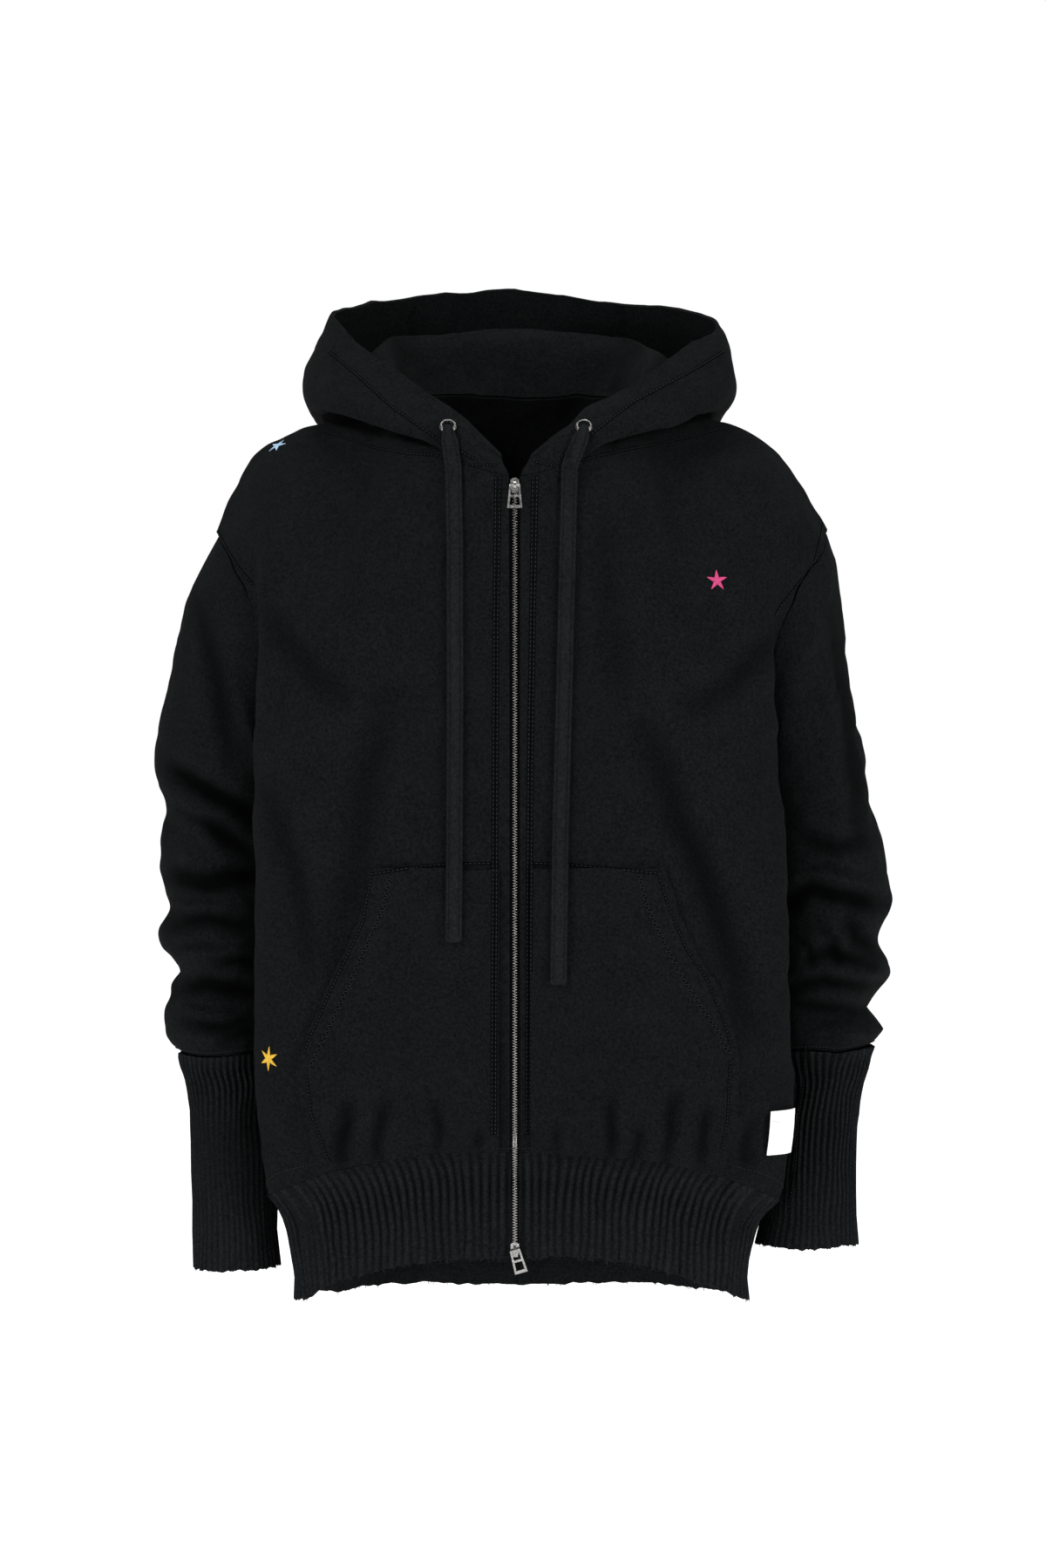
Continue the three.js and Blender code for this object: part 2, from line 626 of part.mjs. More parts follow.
function addSleeve(sideName) {
  const { loop, grid } = sleeveGrid(sideName);
  const order = (row) => (sideName === 'right' ? row : [row[0], ...row.slice(1).reverse()]);
  const rows = [...grid].reverse().map(order);
  rows.push(order(loop.map((entry) => entry.point)));
  const normals = gridNormals(rows, true);
  normals[normals.length - 1] = order(loop.map((entry) => entry.normal));
  add(`sleeve_${sideName}`, wall(rows, clothThickness, true, normals), fabricBlack);
}

function addCuff(sideName) {
  const rings = cuffRings[sideName];
  const ringAt = (angle) => tubePoint(sideName, rings[3], angle);
  const ribs = 2 * Math.round(girthOf(ringAt, 0, 2 * Math.PI) / cuffRibPitch / 2);
  const angles = evenAngles(ringAt, 0, 2 * Math.PI, ribs * 2).slice(0, -1);
  const order = sideName === 'right' ? angles : [angles[0], ...angles.slice(1).reverse()];
  const points = [...rings].reverse().map(
    (ring) => order.map((angle) => clearOfBody(sideName, tubePoint(sideName, ring, angle))),
  );
  add(`cuff_${sideName}`, ribWall(points, gridNormals(points, true), true), ribBlack);
}

// A hood half: s runs along the neck from the zip to the back, t from the seam to the rim
function hoodPoint(sideName, s, t) {
  const sign = sideName === 'right' ? -1 : 1;
  const stations = hoodStations[sideName];
  const seam = rowAt(neckSeam, s);
  const path = [[seam.x, seam.y, seam.z]];
  for (const key of ['roll', 'floor', 'wall', 'rim']) {
    path.push(curveAt(stations.map((station) => station[key]), s).toArray());
  }
  const point = curveAt(path, t);
  point.x *= sign;
  return point;
}

const hoodRows = [...spread(12, 0, bandStart), bandStart + 0.015, ...spread(2, 0.93, 1)];

function addHood(sideName) {
  const turn = shoulderStation / (neckSeam.length - 1);
  const stations = [...spread(neckSteps, 0, turn), ...spread(neckSteps, turn, 1).slice(1)];
  if (sideName === 'right') stations.reverse();
  const points = hoodRows.map((t) => stations.map((s) => hoodPoint(sideName, s, t)));
  const normals = gridNormals(points, false);
  normals.forEach((row) => {
    const back = sideName === 'right' ? row[0] : row[row.length - 1];
    back.x = 0;
    back.normalize();
  });
  const outer = points.map((row, i) => row.map((point, j) => point.clone()
    .addScaledVector(normals[i][j], hoodRows[i] > bandStart ? bandHeight : 0)));
  const inner = points.map((row, i) => row.map((point, j) => point.clone()
    .addScaledVector(normals[i][j], -clothThickness)));
  add(`hood_${sideName}`, wallFromGrids(outer, inner, false), fabricBlack);
}

// The place on a front panel at a given X and Z, and the way out of it
function frontAt(x, z) {
  const sideName = x < 0 ? 'right' : 'left';
  let c = 0.3;
  let v = 0.5;
  for (let round = 0; round < 14; round += 1) {
    const step = 0.002;
    const at = panelPoint(sideName, c, v, true);
    const byC = panelPoint(sideName, c + step, v, true).sub(at).divideScalar(step);
    const byV = panelPoint(sideName, c, v + step, true).sub(at).divideScalar(step);
    const det = byC.x * byV.z - byV.x * byC.z;
    const dx = x - at.x;
    const dz = z - at.z;
    c = clamp(c + 0.8 * ((dx * byV.z - byV.x * dz) / det));
    v = Math.min(0.998, Math.max(0, v + 0.8 * ((byC.x * dz - dx * byC.z) / det)));
  }
  return { point: panelPoint(sideName, c, v, true), normal: panelNormal(sideName, c, v, true) };
}

// The front's depth down the zip, through the panel's and the hem band's straight stretches
const zipLine = [
  ...panelHeights.map((v) => panelPoint('left', 0, v, true)).reverse(),
  ...hemRows.map((row) => hemPoint(frontEdgeAngle, row)),
];

function zipY(z) {
  let at = 0;
  while (at < zipLine.length - 2 && zipLine[at + 1].z > z) at += 1;
  const f = (z - zipLine[at].z) / (zipLine[at + 1].z - zipLine[at].z);
  return mix(zipLine[at].y, zipLine[at + 1].y, f);
}

// A strip with four corners at each height, such as the chain
function strip(heights, low, high, front, back, lean = () => 0) {
  const rows = [...heights].sort((a, b) => a - b).map((z) => [
    new THREE.Vector3(low, zipY(z) + back + lean(z), z),
    new THREE.Vector3(low, zipY(z) + front + lean(z), z),
    new THREE.Vector3(high, zipY(z) + front + lean(z), z),
    new THREE.Vector3(high, zipY(z) + back + lean(z), z),
  ]);
  const faces = [];
  const quad = (a, b, c, d) => {
    for (const corner of [a, b, c, a, c, d]) faces.push(...corner.toArray());
  };
  for (let i = 0; i < rows.length - 1; i += 1) {
    for (let j = 0; j < 4; j += 1) {
      const k = (j + 1) % 4;
      quad(rows[i][j], rows[i][k], rows[i + 1][k], rows[i + 1][j]);
    }
  }
  const end = rows[rows.length - 1];
  quad(rows[0][3], rows[0][2], rows[0][1], rows[0][0]);
  quad(end[0], end[1], end[2], end[3]);
  const geometry = new THREE.BufferGeometry();
  geometry.setAttribute('position', new THREE.Float32BufferAttribute(faces, 3));
  return geometry;
}

function addZip() {
  const kinks = zipLine.map((point) => point.z);
  const between = (low, high) => [low, ...kinks.filter((z) => z > low + 1 && z < high - 1), high];
  const heights = between(zipBottomZ, zipTopZ);
  add('zip_chain', strip(
    between(zipBottomZ + sliderHeight / 2 + seamGap, zipTopZ - sliderHeight / 2 - seamGap),
    -chainWidth / 2, chainWidth / 2, -0.4, -0.4 + chainDepth,
  ), silver);
  const inner = chainWidth / 2 + seamGap;
  const behind = clothThickness + 0.8;
  const deep = behind + tapeThickness;
  const lean = (z) => 3.6 * clamp((z + 190) / 100);
  add('zip_tape_right', strip(heights, -inner - tapeWidth, -inner, behind, deep, lean), tapeBlack);
  add('zip_tape_left', strip(heights, inner, inner + tapeWidth, behind, deep, lean), tapeBlack);
}

// Booleans join and cut three.js solids
function toSolid(geometry) {
  const bare = geometry.clone();
  bare.deleteAttribute('normal');
  bare.deleteAttribute('uv');
  const merged = mergeVertices(bare.index ? bare.toNonIndexed() : bare, 1e-4);
  return new wasm.Manifold(new wasm.Mesh({
    numProp: 3,
    vertProperties: new Float32Array(merged.attributes.position.array),
    triVerts: new Uint32Array(merged.index.array),
  }));
}

function fromSolid(solid) {
  const mesh = solid.getMesh();
  const geometry = new THREE.BufferGeometry();
  geometry.setAttribute('position', new THREE.BufferAttribute(mesh.vertProperties, 3));
  geometry.setIndex(new THREE.BufferAttribute(mesh.triVerts, 1));
  return geometry;
}

function outline(points) {
  return new THREE.Shape(points.map(([x, y]) => new THREE.Vector2(x, y)));
}

// The bail stands on the slider, and the pull's top bar turns in it
const sliderHeight = 12;
const sliderHalf = 3.5;
const sliderFront = -2.6;
const bailInner = 1.7;
const bailOuter = 3.0;
const bailThickness = 2.2;
const barRadius = 1.1;
const bailOut = 2.2;

function sliderGeometry() {
  const body = new THREE.ExtrudeGeometry(outline([
    [-2.4, -sliderHeight / 2], [2.4, -sliderHeight / 2], [sliderHalf, 1.5], [sliderHalf, 4.6],
    [1.2, sliderHeight / 2], [-1.2, sliderHeight / 2], [-sliderHalf, 4.6], [-sliderHalf, 1.5],
  ]), { depth: 3.6, bevelEnabled: false });
  body.rotateX(Math.PI / 2);
  body.translate(0, sliderFront + 3.6, 0);
  const ring = new THREE.Shape().absarc(0, 0, bailOuter, 0, 2 * Math.PI);
  ring.holes.push(new THREE.Path().absarc(0, 0, bailInner, 0, 2 * Math.PI, true));
  const bail = new THREE.ExtrudeGeometry(ring, { depth: bailThickness, bevelEnabled: false, curveSegments: 14 });
  bail.rotateY(Math.PI / 2);
  bail.translate(-bailThickness / 2, sliderFront - bailOut, 0);
  return fromSolid(toSolid(body).add(toSolid(bail)));
}

// A ladder-shaped tab: two windows between three bars, with a round top bar in the bail
function pullGeometry(topHalf, bottomHalf, height) {
  const rail = 1.6;
  const plate = 1.3;
  const half = (z) => mix(topHalf, bottomHalf, -z / height);
  const trapezoid = (from, to, inset) => [
    [-half(from) + inset, from], [half(from) - inset, from],
    [half(to) - inset, to], [-half(to) + inset, to],
  ];
  const frame = outline(trapezoid(0, -height, 0).reverse());
  const crossTop = -height * 0.42;
  const crossLow = crossTop - 1.8;
  frame.holes.push(new THREE.Path(trapezoid(-0.3, crossTop, rail).map(([x, y]) => new THREE.Vector2(x, y))));
  frame.holes.push(new THREE.Path(
    trapezoid(crossLow, -height + 2.4, rail).map(([x, y]) => new THREE.Vector2(x, y)),
  ));
  const tab = new THREE.ExtrudeGeometry(frame, { depth: plate, bevelEnabled: false });
  tab.rotateX(Math.PI / 2);
  tab.translate(0, plate / 2, 0);
  const bar = new THREE.CylinderGeometry(barRadius, barRadius, 2 * topHalf, 12);
  bar.rotateZ(Math.PI / 2);
  return fromSolid(toSolid(tab).add(toSolid(bar)));
}

function addSliders() {
  const tabs = [
    { name: 'top', z: zipTopZ, tilt: 0, topHalf: 4.4, bottomHalf: 6.1, height: 18.5 },
    { name: 'bottom', z: zipBottomZ, tilt: -16, topHalf: 4.2, bottomHalf: 5.4, height: 19.5 },
  ];
  for (const tab of tabs) {
    const tilt = THREE.MathUtils.degToRad(tab.tilt);
    const place = new THREE.Group();
    place.position.set(0, zipY(tab.z), tab.z);
    const slider = add(`slider_${tab.name}`, sliderGeometry(), silver);
    const pull = add(`pull_${tab.name}`, pullGeometry(tab.topHalf, tab.bottomHalf, tab.height), silver);
    pull.position.set(0, sliderFront - bailOut, 0);
    pull.rotation.y = tilt;
    place.add(slider, pull);
    hoodie.add(place);
  }
}

// Pocket halves lie on the fronts: a row for each height, with the outer edge's X
const pocketLift = { hem: 4.4, top: 1.3 };
const pocketThickness = 1.8;
const pocketInnerX = 13;
const pocketEdges = {
  right: [
    { z: -398, x: 119 }, { z: -442, x: 126 }, { z: -476, x: 143 }, { z: -510, x: 160 },
    { z: -550, x: 178 }, { z: -563, x: 176 }, { z: -600, x: 171 }, { z: -640, x: 157 },
  ],
  left: [
    { z: -397, x: 120 }, { z: -424, x: 128 }, { z: -459, x: 143 }, { z: -487, x: 162 },
    { z: -519, x: 177 }, { z: -545, x: 183 }, { z: -600, x: 180 }, { z: -644, x: 172 },
  ],
};

function addPocket(sideName) {
  const sign = sideName === 'right' ? -1 : 1;
  const edges = pocketEdges[sideName];
  const spots = spread(10).map((t) => {
    const edge = rowAt([...edges].reverse(), t);
    return spread(9).map((u) => {
      const x = mix(pocketInnerX, edge.x, u);
      const foot = hemSeamZ(Math.asin((x / 216) ** (1 / 0.78))) + 3;
      return frontAt(sign * x, edge.z + (1 - t) * (foot - edges[edges.length - 1].z));
    });
  });
  const rows = sideName === 'right' ? spots.map((row) => [...row].reverse()) : spots;
  const lift = (height) => rows.map((row, i) => row.map((spot) => {
    const clear = mix(pocketLift.hem, pocketLift.top, clamp((3 * i) / (rows.length - 1)));
    return spot.point.clone().addScaledVector(spot.normal, clear + height);
  }));
  add(`pocket_${sideName}`, wallFromGrids(lift(pocketThickness), lift(0), false), fabricBlack);
}

// Eyelets sit on the hood's front band, and a flat cord hangs from each down the chest
const eyelets = {
  right: { s: 0.158, t: 0.8, path: [[-49.5, -70], [-48.5, -130], [-48.5, -250], [-49, -360], [-49.5, -457]] },
  left: { s: 0.158, t: 0.8, path: [[44, -70], [43, -130], [40, -250], [37, -370], [35.5, -492]] },
};
const cordLift = { chest: 3.8, pocket: 6.4 };

function hoodSpot(sideName, s, t) {
  const step = 0.01;
  const sign = sideName === 'right' ? -1 : 1;
  const along = hoodPoint(sideName, s + step, t).sub(hoodPoint(sideName, s - step, t));
  const up = hoodPoint(sideName, s, t + step).sub(hoodPoint(sideName, s, t - step));
  return { point: hoodPoint(sideName, s, t), normal: along.cross(up).multiplyScalar(sign).normalize() };
}

function addEyeletAndCord(sideName) {
  const { s, t, path } = eyelets[sideName];
  const spot = hoodSpot(sideName, s, t);
  const middle = spot.point.clone().addScaledVector(spot.normal, 0.5);
  const profile = [
    [eyeletInner, 0], [eyeletOuter - 0.5, 0], [eyeletOuter, 0.7],
    [eyeletOuter - 1, eyeletDepth], [eyeletInner + 0.6, eyeletDepth], [eyeletInner, 0],
  ];
  const ring = new THREE.LatheGeometry(profile.map(([r, h]) => new THREE.Vector2(r, h)), 20);
  const mesh = add(`eyelet_${sideName}`, fromSolid(toSolid(ring)), silver);
  mesh.position.copy(middle);
  mesh.quaternion.setFromUnitVectors(new THREE.Vector3(0, 1, 0), spot.normal);
  const start = middle.clone().addScaledVector(spot.normal, eyeletDepth + cordThickness / 2 + 3.4);
  start.x = mix(start.x, path[0][0], 0.8);
  const points = [start];
  path.forEach(([x, z], i) => {
    const hang = frontAt(x, Math.min(z, -82));
    const rest = hang.point.addScaledVector(hang.normal, z < -300 ? cordLift.pocket : cordLift.chest);
    points.push(i === 0 ? new THREE.Vector3(x, Math.min(rest.y, start.y - 3), z) : rest);
  });
  const route = new THREE.CatmullRomCurve3(points);
  const half = cordWidth / 2;
  const thick = cordThickness / 2;
  const section = outline([
    [-half, -thick * 0.4], [-half * 0.72, -thick], [half * 0.72, -thick], [half, -thick * 0.4],
    [half, thick * 0.4], [half * 0.72, thick], [-half * 0.72, thick], [-half, thick * 0.4],
  ]);
  const cord = new THREE.ExtrudeGeometry(section, { steps: 18, extrudePath: route, bevelEnabled: false });
  add(`drawcord_${sideName}`, fromSolid(toSolid(cord)), cordBlack);
}

// The side label lies on the left front, near the side seam and just above the hem
function addLabel() {
  const rows = spread(3, -636, -597).map((z) => spread(4, 62, 84).map((degrees) => {
    const angle = THREE.MathUtils.degToRad(degrees);
    const step = 0.01;
    const point = lowerBody(angle, z);
    const along = lowerBody(angle + step, z).sub(lowerBody(angle - step, z));
    const up = lowerBody(angle, z + 1).sub(lowerBody(angle, z - 1));
    return { point, normal: along.cross(up).normalize() };
  }));
  const lift = (height) => rows.map((row) => row.map(
    (spot) => spot.point.clone().addScaledVector(spot.normal, height),
  ));
  add('side_label', wallFromGrids(lift(2), lift(1.2), false), labelWhite);
}

addPanels();
addHem();
addZip();
addSliders();
for (const sideName of ['right', 'left']) {
  addSleeve(sideName);
  addCuff(sideName);
  addHood(sideName);
  addPocket(sideName);
  addEyeletAndCord(sideName);
}
addLabel();

export default hoodie;
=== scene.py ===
import json
import math

import bpy
import numpy as np
from mathutils import Matrix, Vector
from mathutils.bvhtree import BVHTree

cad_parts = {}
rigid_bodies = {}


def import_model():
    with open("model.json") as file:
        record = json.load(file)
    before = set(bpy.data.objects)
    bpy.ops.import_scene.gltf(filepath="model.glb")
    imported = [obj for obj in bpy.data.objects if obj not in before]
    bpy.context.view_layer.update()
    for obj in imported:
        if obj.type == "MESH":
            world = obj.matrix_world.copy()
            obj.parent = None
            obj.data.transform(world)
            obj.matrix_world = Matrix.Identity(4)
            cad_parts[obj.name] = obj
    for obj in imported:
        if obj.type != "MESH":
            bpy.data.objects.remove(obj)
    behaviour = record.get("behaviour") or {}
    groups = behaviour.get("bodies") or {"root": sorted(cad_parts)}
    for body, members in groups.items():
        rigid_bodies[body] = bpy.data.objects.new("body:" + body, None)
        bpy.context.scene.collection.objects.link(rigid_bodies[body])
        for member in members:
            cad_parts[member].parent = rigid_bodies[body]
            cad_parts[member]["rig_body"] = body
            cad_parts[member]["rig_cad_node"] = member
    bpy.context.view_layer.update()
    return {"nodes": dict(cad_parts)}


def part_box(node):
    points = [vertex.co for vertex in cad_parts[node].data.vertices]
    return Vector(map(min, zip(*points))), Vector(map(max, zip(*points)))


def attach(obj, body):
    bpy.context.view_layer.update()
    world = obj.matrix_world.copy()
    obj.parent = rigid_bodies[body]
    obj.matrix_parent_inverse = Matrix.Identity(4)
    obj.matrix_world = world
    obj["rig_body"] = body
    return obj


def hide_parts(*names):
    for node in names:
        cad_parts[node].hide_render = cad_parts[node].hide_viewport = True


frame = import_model()
print("frame loaded:", len(frame["nodes"]), "nodes")

mm = 0.001

# The photograph's viewpoint, in metres and photograph pixels
viewpoint = {
    "eye": Vector((0.0067, -3.3, -0.244)), "tiltDown": 1.53, "viewHeight": 22.8, "sensor": 24,
    "pixel": 0.00074, "middleX": 600, "levelY": 780,
}


def addObject(name, data):
    added = bpy.data.objects.new(name, data)
    bpy.context.scene.collection.objects.link(added)
    return added


def addCamera():
    data = bpy.data.cameras.new("camera")
    camera = addObject("camera", data)
    camera.location = viewpoint["eye"]
    camera.rotation_euler = (math.radians(90 - viewpoint["tiltDown"]), 0, 0)
    data.sensor_fit = "VERTICAL"
    data.sensor_height = viewpoint["sensor"]
    data.lens = viewpoint["sensor"] / 2 / math.tan(math.radians(viewpoint["viewHeight"] / 2))
    bpy.context.scene.camera = camera


def sightLine(pixelX, pixelY):
    # The direction from the eye through a pixel of the photograph
    across = (pixelX - viewpoint["middleX"]) * viewpoint["pixel"]
    up = (viewpoint["levelY"] - pixelY) * viewpoint["pixel"]
    return Vector((across, -viewpoint["eye"].y, up)).normalized()


def atDepth(pixelX, pixelY, depth):
    # The point on that line at a given y, as x and z
    line = sightLine(pixelX, pixelY)
    point = viewpoint["eye"] + line * ((depth - viewpoint["eye"].y) / line.y)
    return point.x, point.z


addCamera()


# Materials: each starts as a Principled shader with its own nodes
waveUnit = 0.31416
# Knit mottle, loop bends and sheen, and how far the painted shade dims the dark tone
knit = {
    "patchScale": 30.0, "patchShare": 0.22, "speckScale": 420.0, "contrast": 0.82, "low": 0.38, "high": 0.64,
    "shadeTone": 0.3, "columnBend": 0.6, "rowBend": 0.9, "sheen": 0.004, "sheenRough": 0.45,
    "sheenTint": (0.75, 0.8, 0.85, 1),
}


def addNode(nodes, kind, **values):
    node = nodes.new(kind)
    for key, value in values.items():
        if key in node.inputs:
            node.inputs[key].default_value = value
        else:
            setattr(node, key, value)
    return node


def newMaterial(name, rough, metallic=0.0, specular=0.5):
    material = bpy.data.materials.new(name)
    material.use_nodes = True
    tree = material.node_tree
    shader = tree.nodes["Principled BSDF"]
    shader.inputs["Roughness"].default_value = rough
    shader.inputs["Metallic"].default_value = metallic
    shader.inputs["Specular IOR Level"].default_value = specular
    return material, tree.nodes, tree.links, shader, tree.nodes.new("ShaderNodeTexCoord")


def toneRamp(nodes, links, source, dark, light, low=0.35, high=0.65):
    ramp = nodes.new("ShaderNodeValToRGB")
    ramp.color_ramp.elements[0].position = low
    ramp.color_ramp.elements[0].color = (*dark, 1)
    ramp.color_ramp.elements[1].position = high
    ramp.color_ramp.elements[1].color = (*light, 1)
    links.new(source, ramp.inputs["Fac"])
    return ramp.outputs["Color"]


def noiseAt(nodes, links, place, scale, detail, rough=0.5):
    noise = addNode(nodes, "ShaderNodeTexNoise", Scale=scale, Detail=detail, Roughness=rough)
    links.new(place.outputs["Object"], noise.inputs["Vector"])
    return noise.outputs["Fac"]


def worked(nodes, links, operation, *values):
    # One sum or product of two values, each a socket or a number
    node = addNode(nodes, "ShaderNodeMath", operation=operation)
    for socket, value in zip(node.inputs, values):
        if isinstance(value, float):
            socket.default_value = value
        else:
            links.new(value, socket)
    return node.outputs["Value"]


def addBump(nodes, links, shader, height, depth, below=None):
    bump = addNode(nodes, "ShaderNodeBump", Distance=depth)
    links.new(height, bump.inputs["Height"])
    if below is not None:
        links.new(below, bump.inputs["Normal"])
    links.new(bump.outputs["Normal"], shader.inputs["Normal"])
    return bump.outputs["Normal"]


def bandWave(nodes, links, source, direction, pitch, distortion=0.0):
    # Bands across one direction, pitch metres apart
    wave = addNode(nodes, "ShaderNodeTexWave", Scale=waveUnit / pitch, Distortion=distortion)
    wave.wave_type = "BANDS"
    wave.bands_direction = direction
    links.new(source, wave.inputs["Vector"])
    return wave.outputs["Fac"]


def knitMaterial(name, dark, light, columnPitch, rowPitch, knitDepth, fuzzDepth):
    material, nodes, links, shader, place = newMaterial(name, rough=1.0, specular=0.02)
    patches = noiseAt(nodes, links, place, knit["patchScale"], detail=8.0, rough=0.75)
    specks = noiseAt(nodes, links, place, knit["speckScale"], detail=6.0, rough=0.7)
    softer = worked(nodes, links, "MULTIPLY", patches, knit["patchShare"])
    both = worked(nodes, links, "ADD", softer, specks)
    mottle = worked(nodes, links, "MULTIPLY", both, knit["contrast"])
    tone = toneRamp(nodes, links, mottle, dark, light, knit["low"], knit["high"])
    # Sockets 6, 7 and 2 of a mix node are its two colours and the mixed one
    # Painted shade: the point attribute mixes the colour towards a dimmed dark tone in troughs and channels
    paintedShade = addNode(nodes, "ShaderNodeAttribute", attribute_name="paintedShade")
    sunk = addNode(nodes, "ShaderNodeMix", data_type="RGBA")
    links.new(paintedShade.outputs["Fac"], sunk.inputs["Factor"])
    links.new(tone, sunk.inputs[6])
    sunk.inputs[7].default_value = (*[c * knit["shadeTone"] for c in dark], 1)
    links.new(sunk.outputs[2], shader.inputs["Base Color"])
    columns = bandWave(nodes, links, place.outputs["UV"], "X", columnPitch, knit["columnBend"])
    rows = bandWave(nodes, links, place.outputs["UV"], "Y", rowPitch, knit["rowBend"])
    loops = worked(nodes, links, "MULTIPLY", columns, rows)
    woven = addBump(nodes, links, shader, loops, knitDepth)
    addBump(nodes, links, shader, specks, fuzzDepth, woven)
    shader.inputs["Sheen Weight"].default_value = knit["sheen"]
    shader.inputs["Sheen Roughness"].default_value = knit["sheenRough"]
    shader.inputs["Sheen Tint"].default_value = knit["sheenTint"]
    return material


def threadMaterial(name, colour, rough, specular):
    material, nodes, links, shader, place = newMaterial(name, rough, specular=specular)
    grain = noiseAt(nodes, links, place, scale=1000.0, detail=2.0)
    shade = 0.72
    tone = toneRamp(nodes, links, grain, [c * shade for c in colour], colour)
    links.new(tone, shader.inputs["Base Color"])
    addBump(nodes, links, shader, grain, depth=0.00012)
    return material


def nickelMaterial():
    material, nodes, links, shader, place = newMaterial("polishedNickel", rough=0.24, metallic=1.0)
    scuffs = noiseAt(nodes, links, place, scale=650.0, detail=4.0, rough=0.65)
    tone = toneRamp(nodes, links, scuffs, dark=(0.17, 0.165, 0.16), light=(0.42, 0.41, 0.40))
    links.new(tone, shader.inputs["Base Color"])
    polish = toneRamp(nodes, links, scuffs, dark=(0.18,) * 3, light=(0.36,) * 3)
    links.new(polish, shader.inputs["Roughness"])
    addBump(nodes, links, shader, scuffs, depth=0.00006)
    return material


def wovenMaterial(name, dark, light, pitch, depth, sheen):
    material, nodes, links, shader, place = newMaterial(name, rough=0.9, specular=0.04)
    across = bandWave(nodes, links, place.outputs["Object"], "X", pitch, distortion=0.5)
    along = bandWave(nodes, links, place.outputs["Object"], "Z", pitch, distortion=0.5)
    weave = worked(nodes, links, "MULTIPLY", across, along)
    tone = toneRamp(nodes, links, weave, dark, light, low=0.1, high=0.6)
    links.new(tone, shader.inputs["Base Color"])
    addBump(nodes, links, shader, weave, depth)
    shader.inputs["Sheen Weight"].default_value = sheen
    return material


materials = {
    "fleece": knitMaterial(
        "blackFleece", (0.0027, 0.0031, 0.0033), (0.0085, 0.0091, 0.0096), 0.0014, 0.0011, 0.0003, 0.0008),
    "rib": knitMaterial(
        "blackRib", (0.0039, 0.0044, 0.0048), (0.0112, 0.0119, 0.0126), 0.0017, 0.0019, 0.0005, 0.0006),
    "cord": knitMaterial(
        "blackCord", (0.0046, 0.0051, 0.0056), (0.0112, 0.0119, 0.0127), 0.0016, 0.0013, 0.0004, 0.0003),
    "tape": wovenMaterial("blackTape", (0.0030, 0.0030, 0.0031), (0.007, 0.007, 0.0072), 0.0007, 0.0001, 0.0),
    "label": wovenMaterial("whiteLabel", (0.62, 0.62, 0.60), (0.86, 0.86, 0.84), 0.0006, 0.00008, 0.1),
    "nickel": nickelMaterial(),
    "blackThread": threadMaterial("blackThread", (0.0150, 0.0160, 0.0165), 0.9, 0.05),
    "greyThread": threadMaterial("greyThread", (0.30, 0.30, 0.29), 0.8, 0.1),
    # Painted shade: near-black for the strips laid in the seams' grooves
    "seamShade": threadMaterial("seamShade", (0.0022, 0.0024, 0.0026), 1.0, 0.0),
    "pinkThread": threadMaterial("pinkThread", (0.50, 0.05, 0.17), 0.5, 0.2),
    "yellowThread": threadMaterial("yellowThread", (0.60, 0.37, 0.03), 0.5, 0.2),
    "blueThread": threadMaterial("blueThread", (0.32, 0.46, 0.62), 0.5, 0.2),
}


# Helpers that make and read meshes
def wear(piece, material):
    piece.data.materials.clear()
    piece.data.materials.append(materials[material])


def selectNone():
    for other in bpy.context.view_layer.objects:
        other.select_set(False)


def selectOnly(piece):
    selectNone()
    piece.select_set(True)
    bpy.context.view_layer.objects.active = piece


def editAll():
    bpy.ops.object.mode_set(mode="EDIT")
    bpy.ops.mesh.select_all(action="SELECT")


def turnFacesOut(piece):
    selectOnly(piece)
    editAll()
    bpy.ops.mesh.normals_make_consistent(inside=False)
    bpy.ops.object.mode_set(mode="OBJECT")


def valuesOf(items, key, width, kind=float):
    # One property of a mesh's parts, as rows of a width
    values = np.empty(len(items) * width, dtype=kind)
    items.foreach_get(key, values)
    return values.reshape(-1, width)


def pointsOf(mesh):
    return valuesOf(mesh.vertices, "co", 3)


def setPoints(mesh, points):
    mesh.vertices.foreach_set("co", np.ascontiguousarray(points, dtype=np.float64).ravel())
    mesh.update()


def pieceFrom(name, vertices, faces, material):
    mesh = bpy.data.meshes.new(name)
    mesh.from_pydata([tuple(v) for v in vertices], [], faces)
    mesh.update()
    mesh.polygons.foreach_set("use_smooth", [True] * len(mesh.polygons))
    piece = addObject(name, mesh)
    wear(piece, material)
    return piece


def join(whole, vertices, faces):
    # Adds one part's points and faces to a growing pair of lists
    start = len(whole[0])
    whole[0].extend(vertices)
    whole[1].extend([[start + index for index in face] for face in faces])


def tubeFaces(rings, sides):
    # Faces of a tube closed at both ends, its points given ring by ring
    faces = []
    for near in range(0, (rings - 1) * sides, sides):
        far = near + sides
        for corner in range(sides):
            after = (corner + 1) % sides
            faces.append((near + corner, near + after, far + after, far + corner))
    faces.append(tuple(range(sides))[::-1])
    faces.append(tuple((rings - 1) * sides + corner for corner in range(sides)))
    return faces


def treeOf(pieces):
    whole = ([], [])
    for piece in pieces:
        join(whole, pointsOf(piece.data).tolist(), [face.vertices for face in piece.data.polygons])
    return BVHTree.FromPolygons(*whole)


def against(normal, line):
    # The normal, or its reverse, that faces back along a line
    return normal if normal.dot(line) < 0 else -normal


def seatAt(tree, start, line, reach=10.0):
    # Where a line first meets the pieces of a tree, with the normal there, or nothing
    place, normal, face, distance = tree.ray_cast(start, line, reach)
    return [] if place is None else [(place, against(normal, line))]


def middleOf(points):
    return (points.min(axis=0) + points.max(axis=0)) / 2


def slotOf(angle, count):
    # Which of so many equal slots of a turn an angle falls in
    return ((angle + math.pi) / (2 * math.pi) * count).astype(int) % count


def normalsOf(mesh):
    return valuesOf(mesh.vertices, "normal", 3)


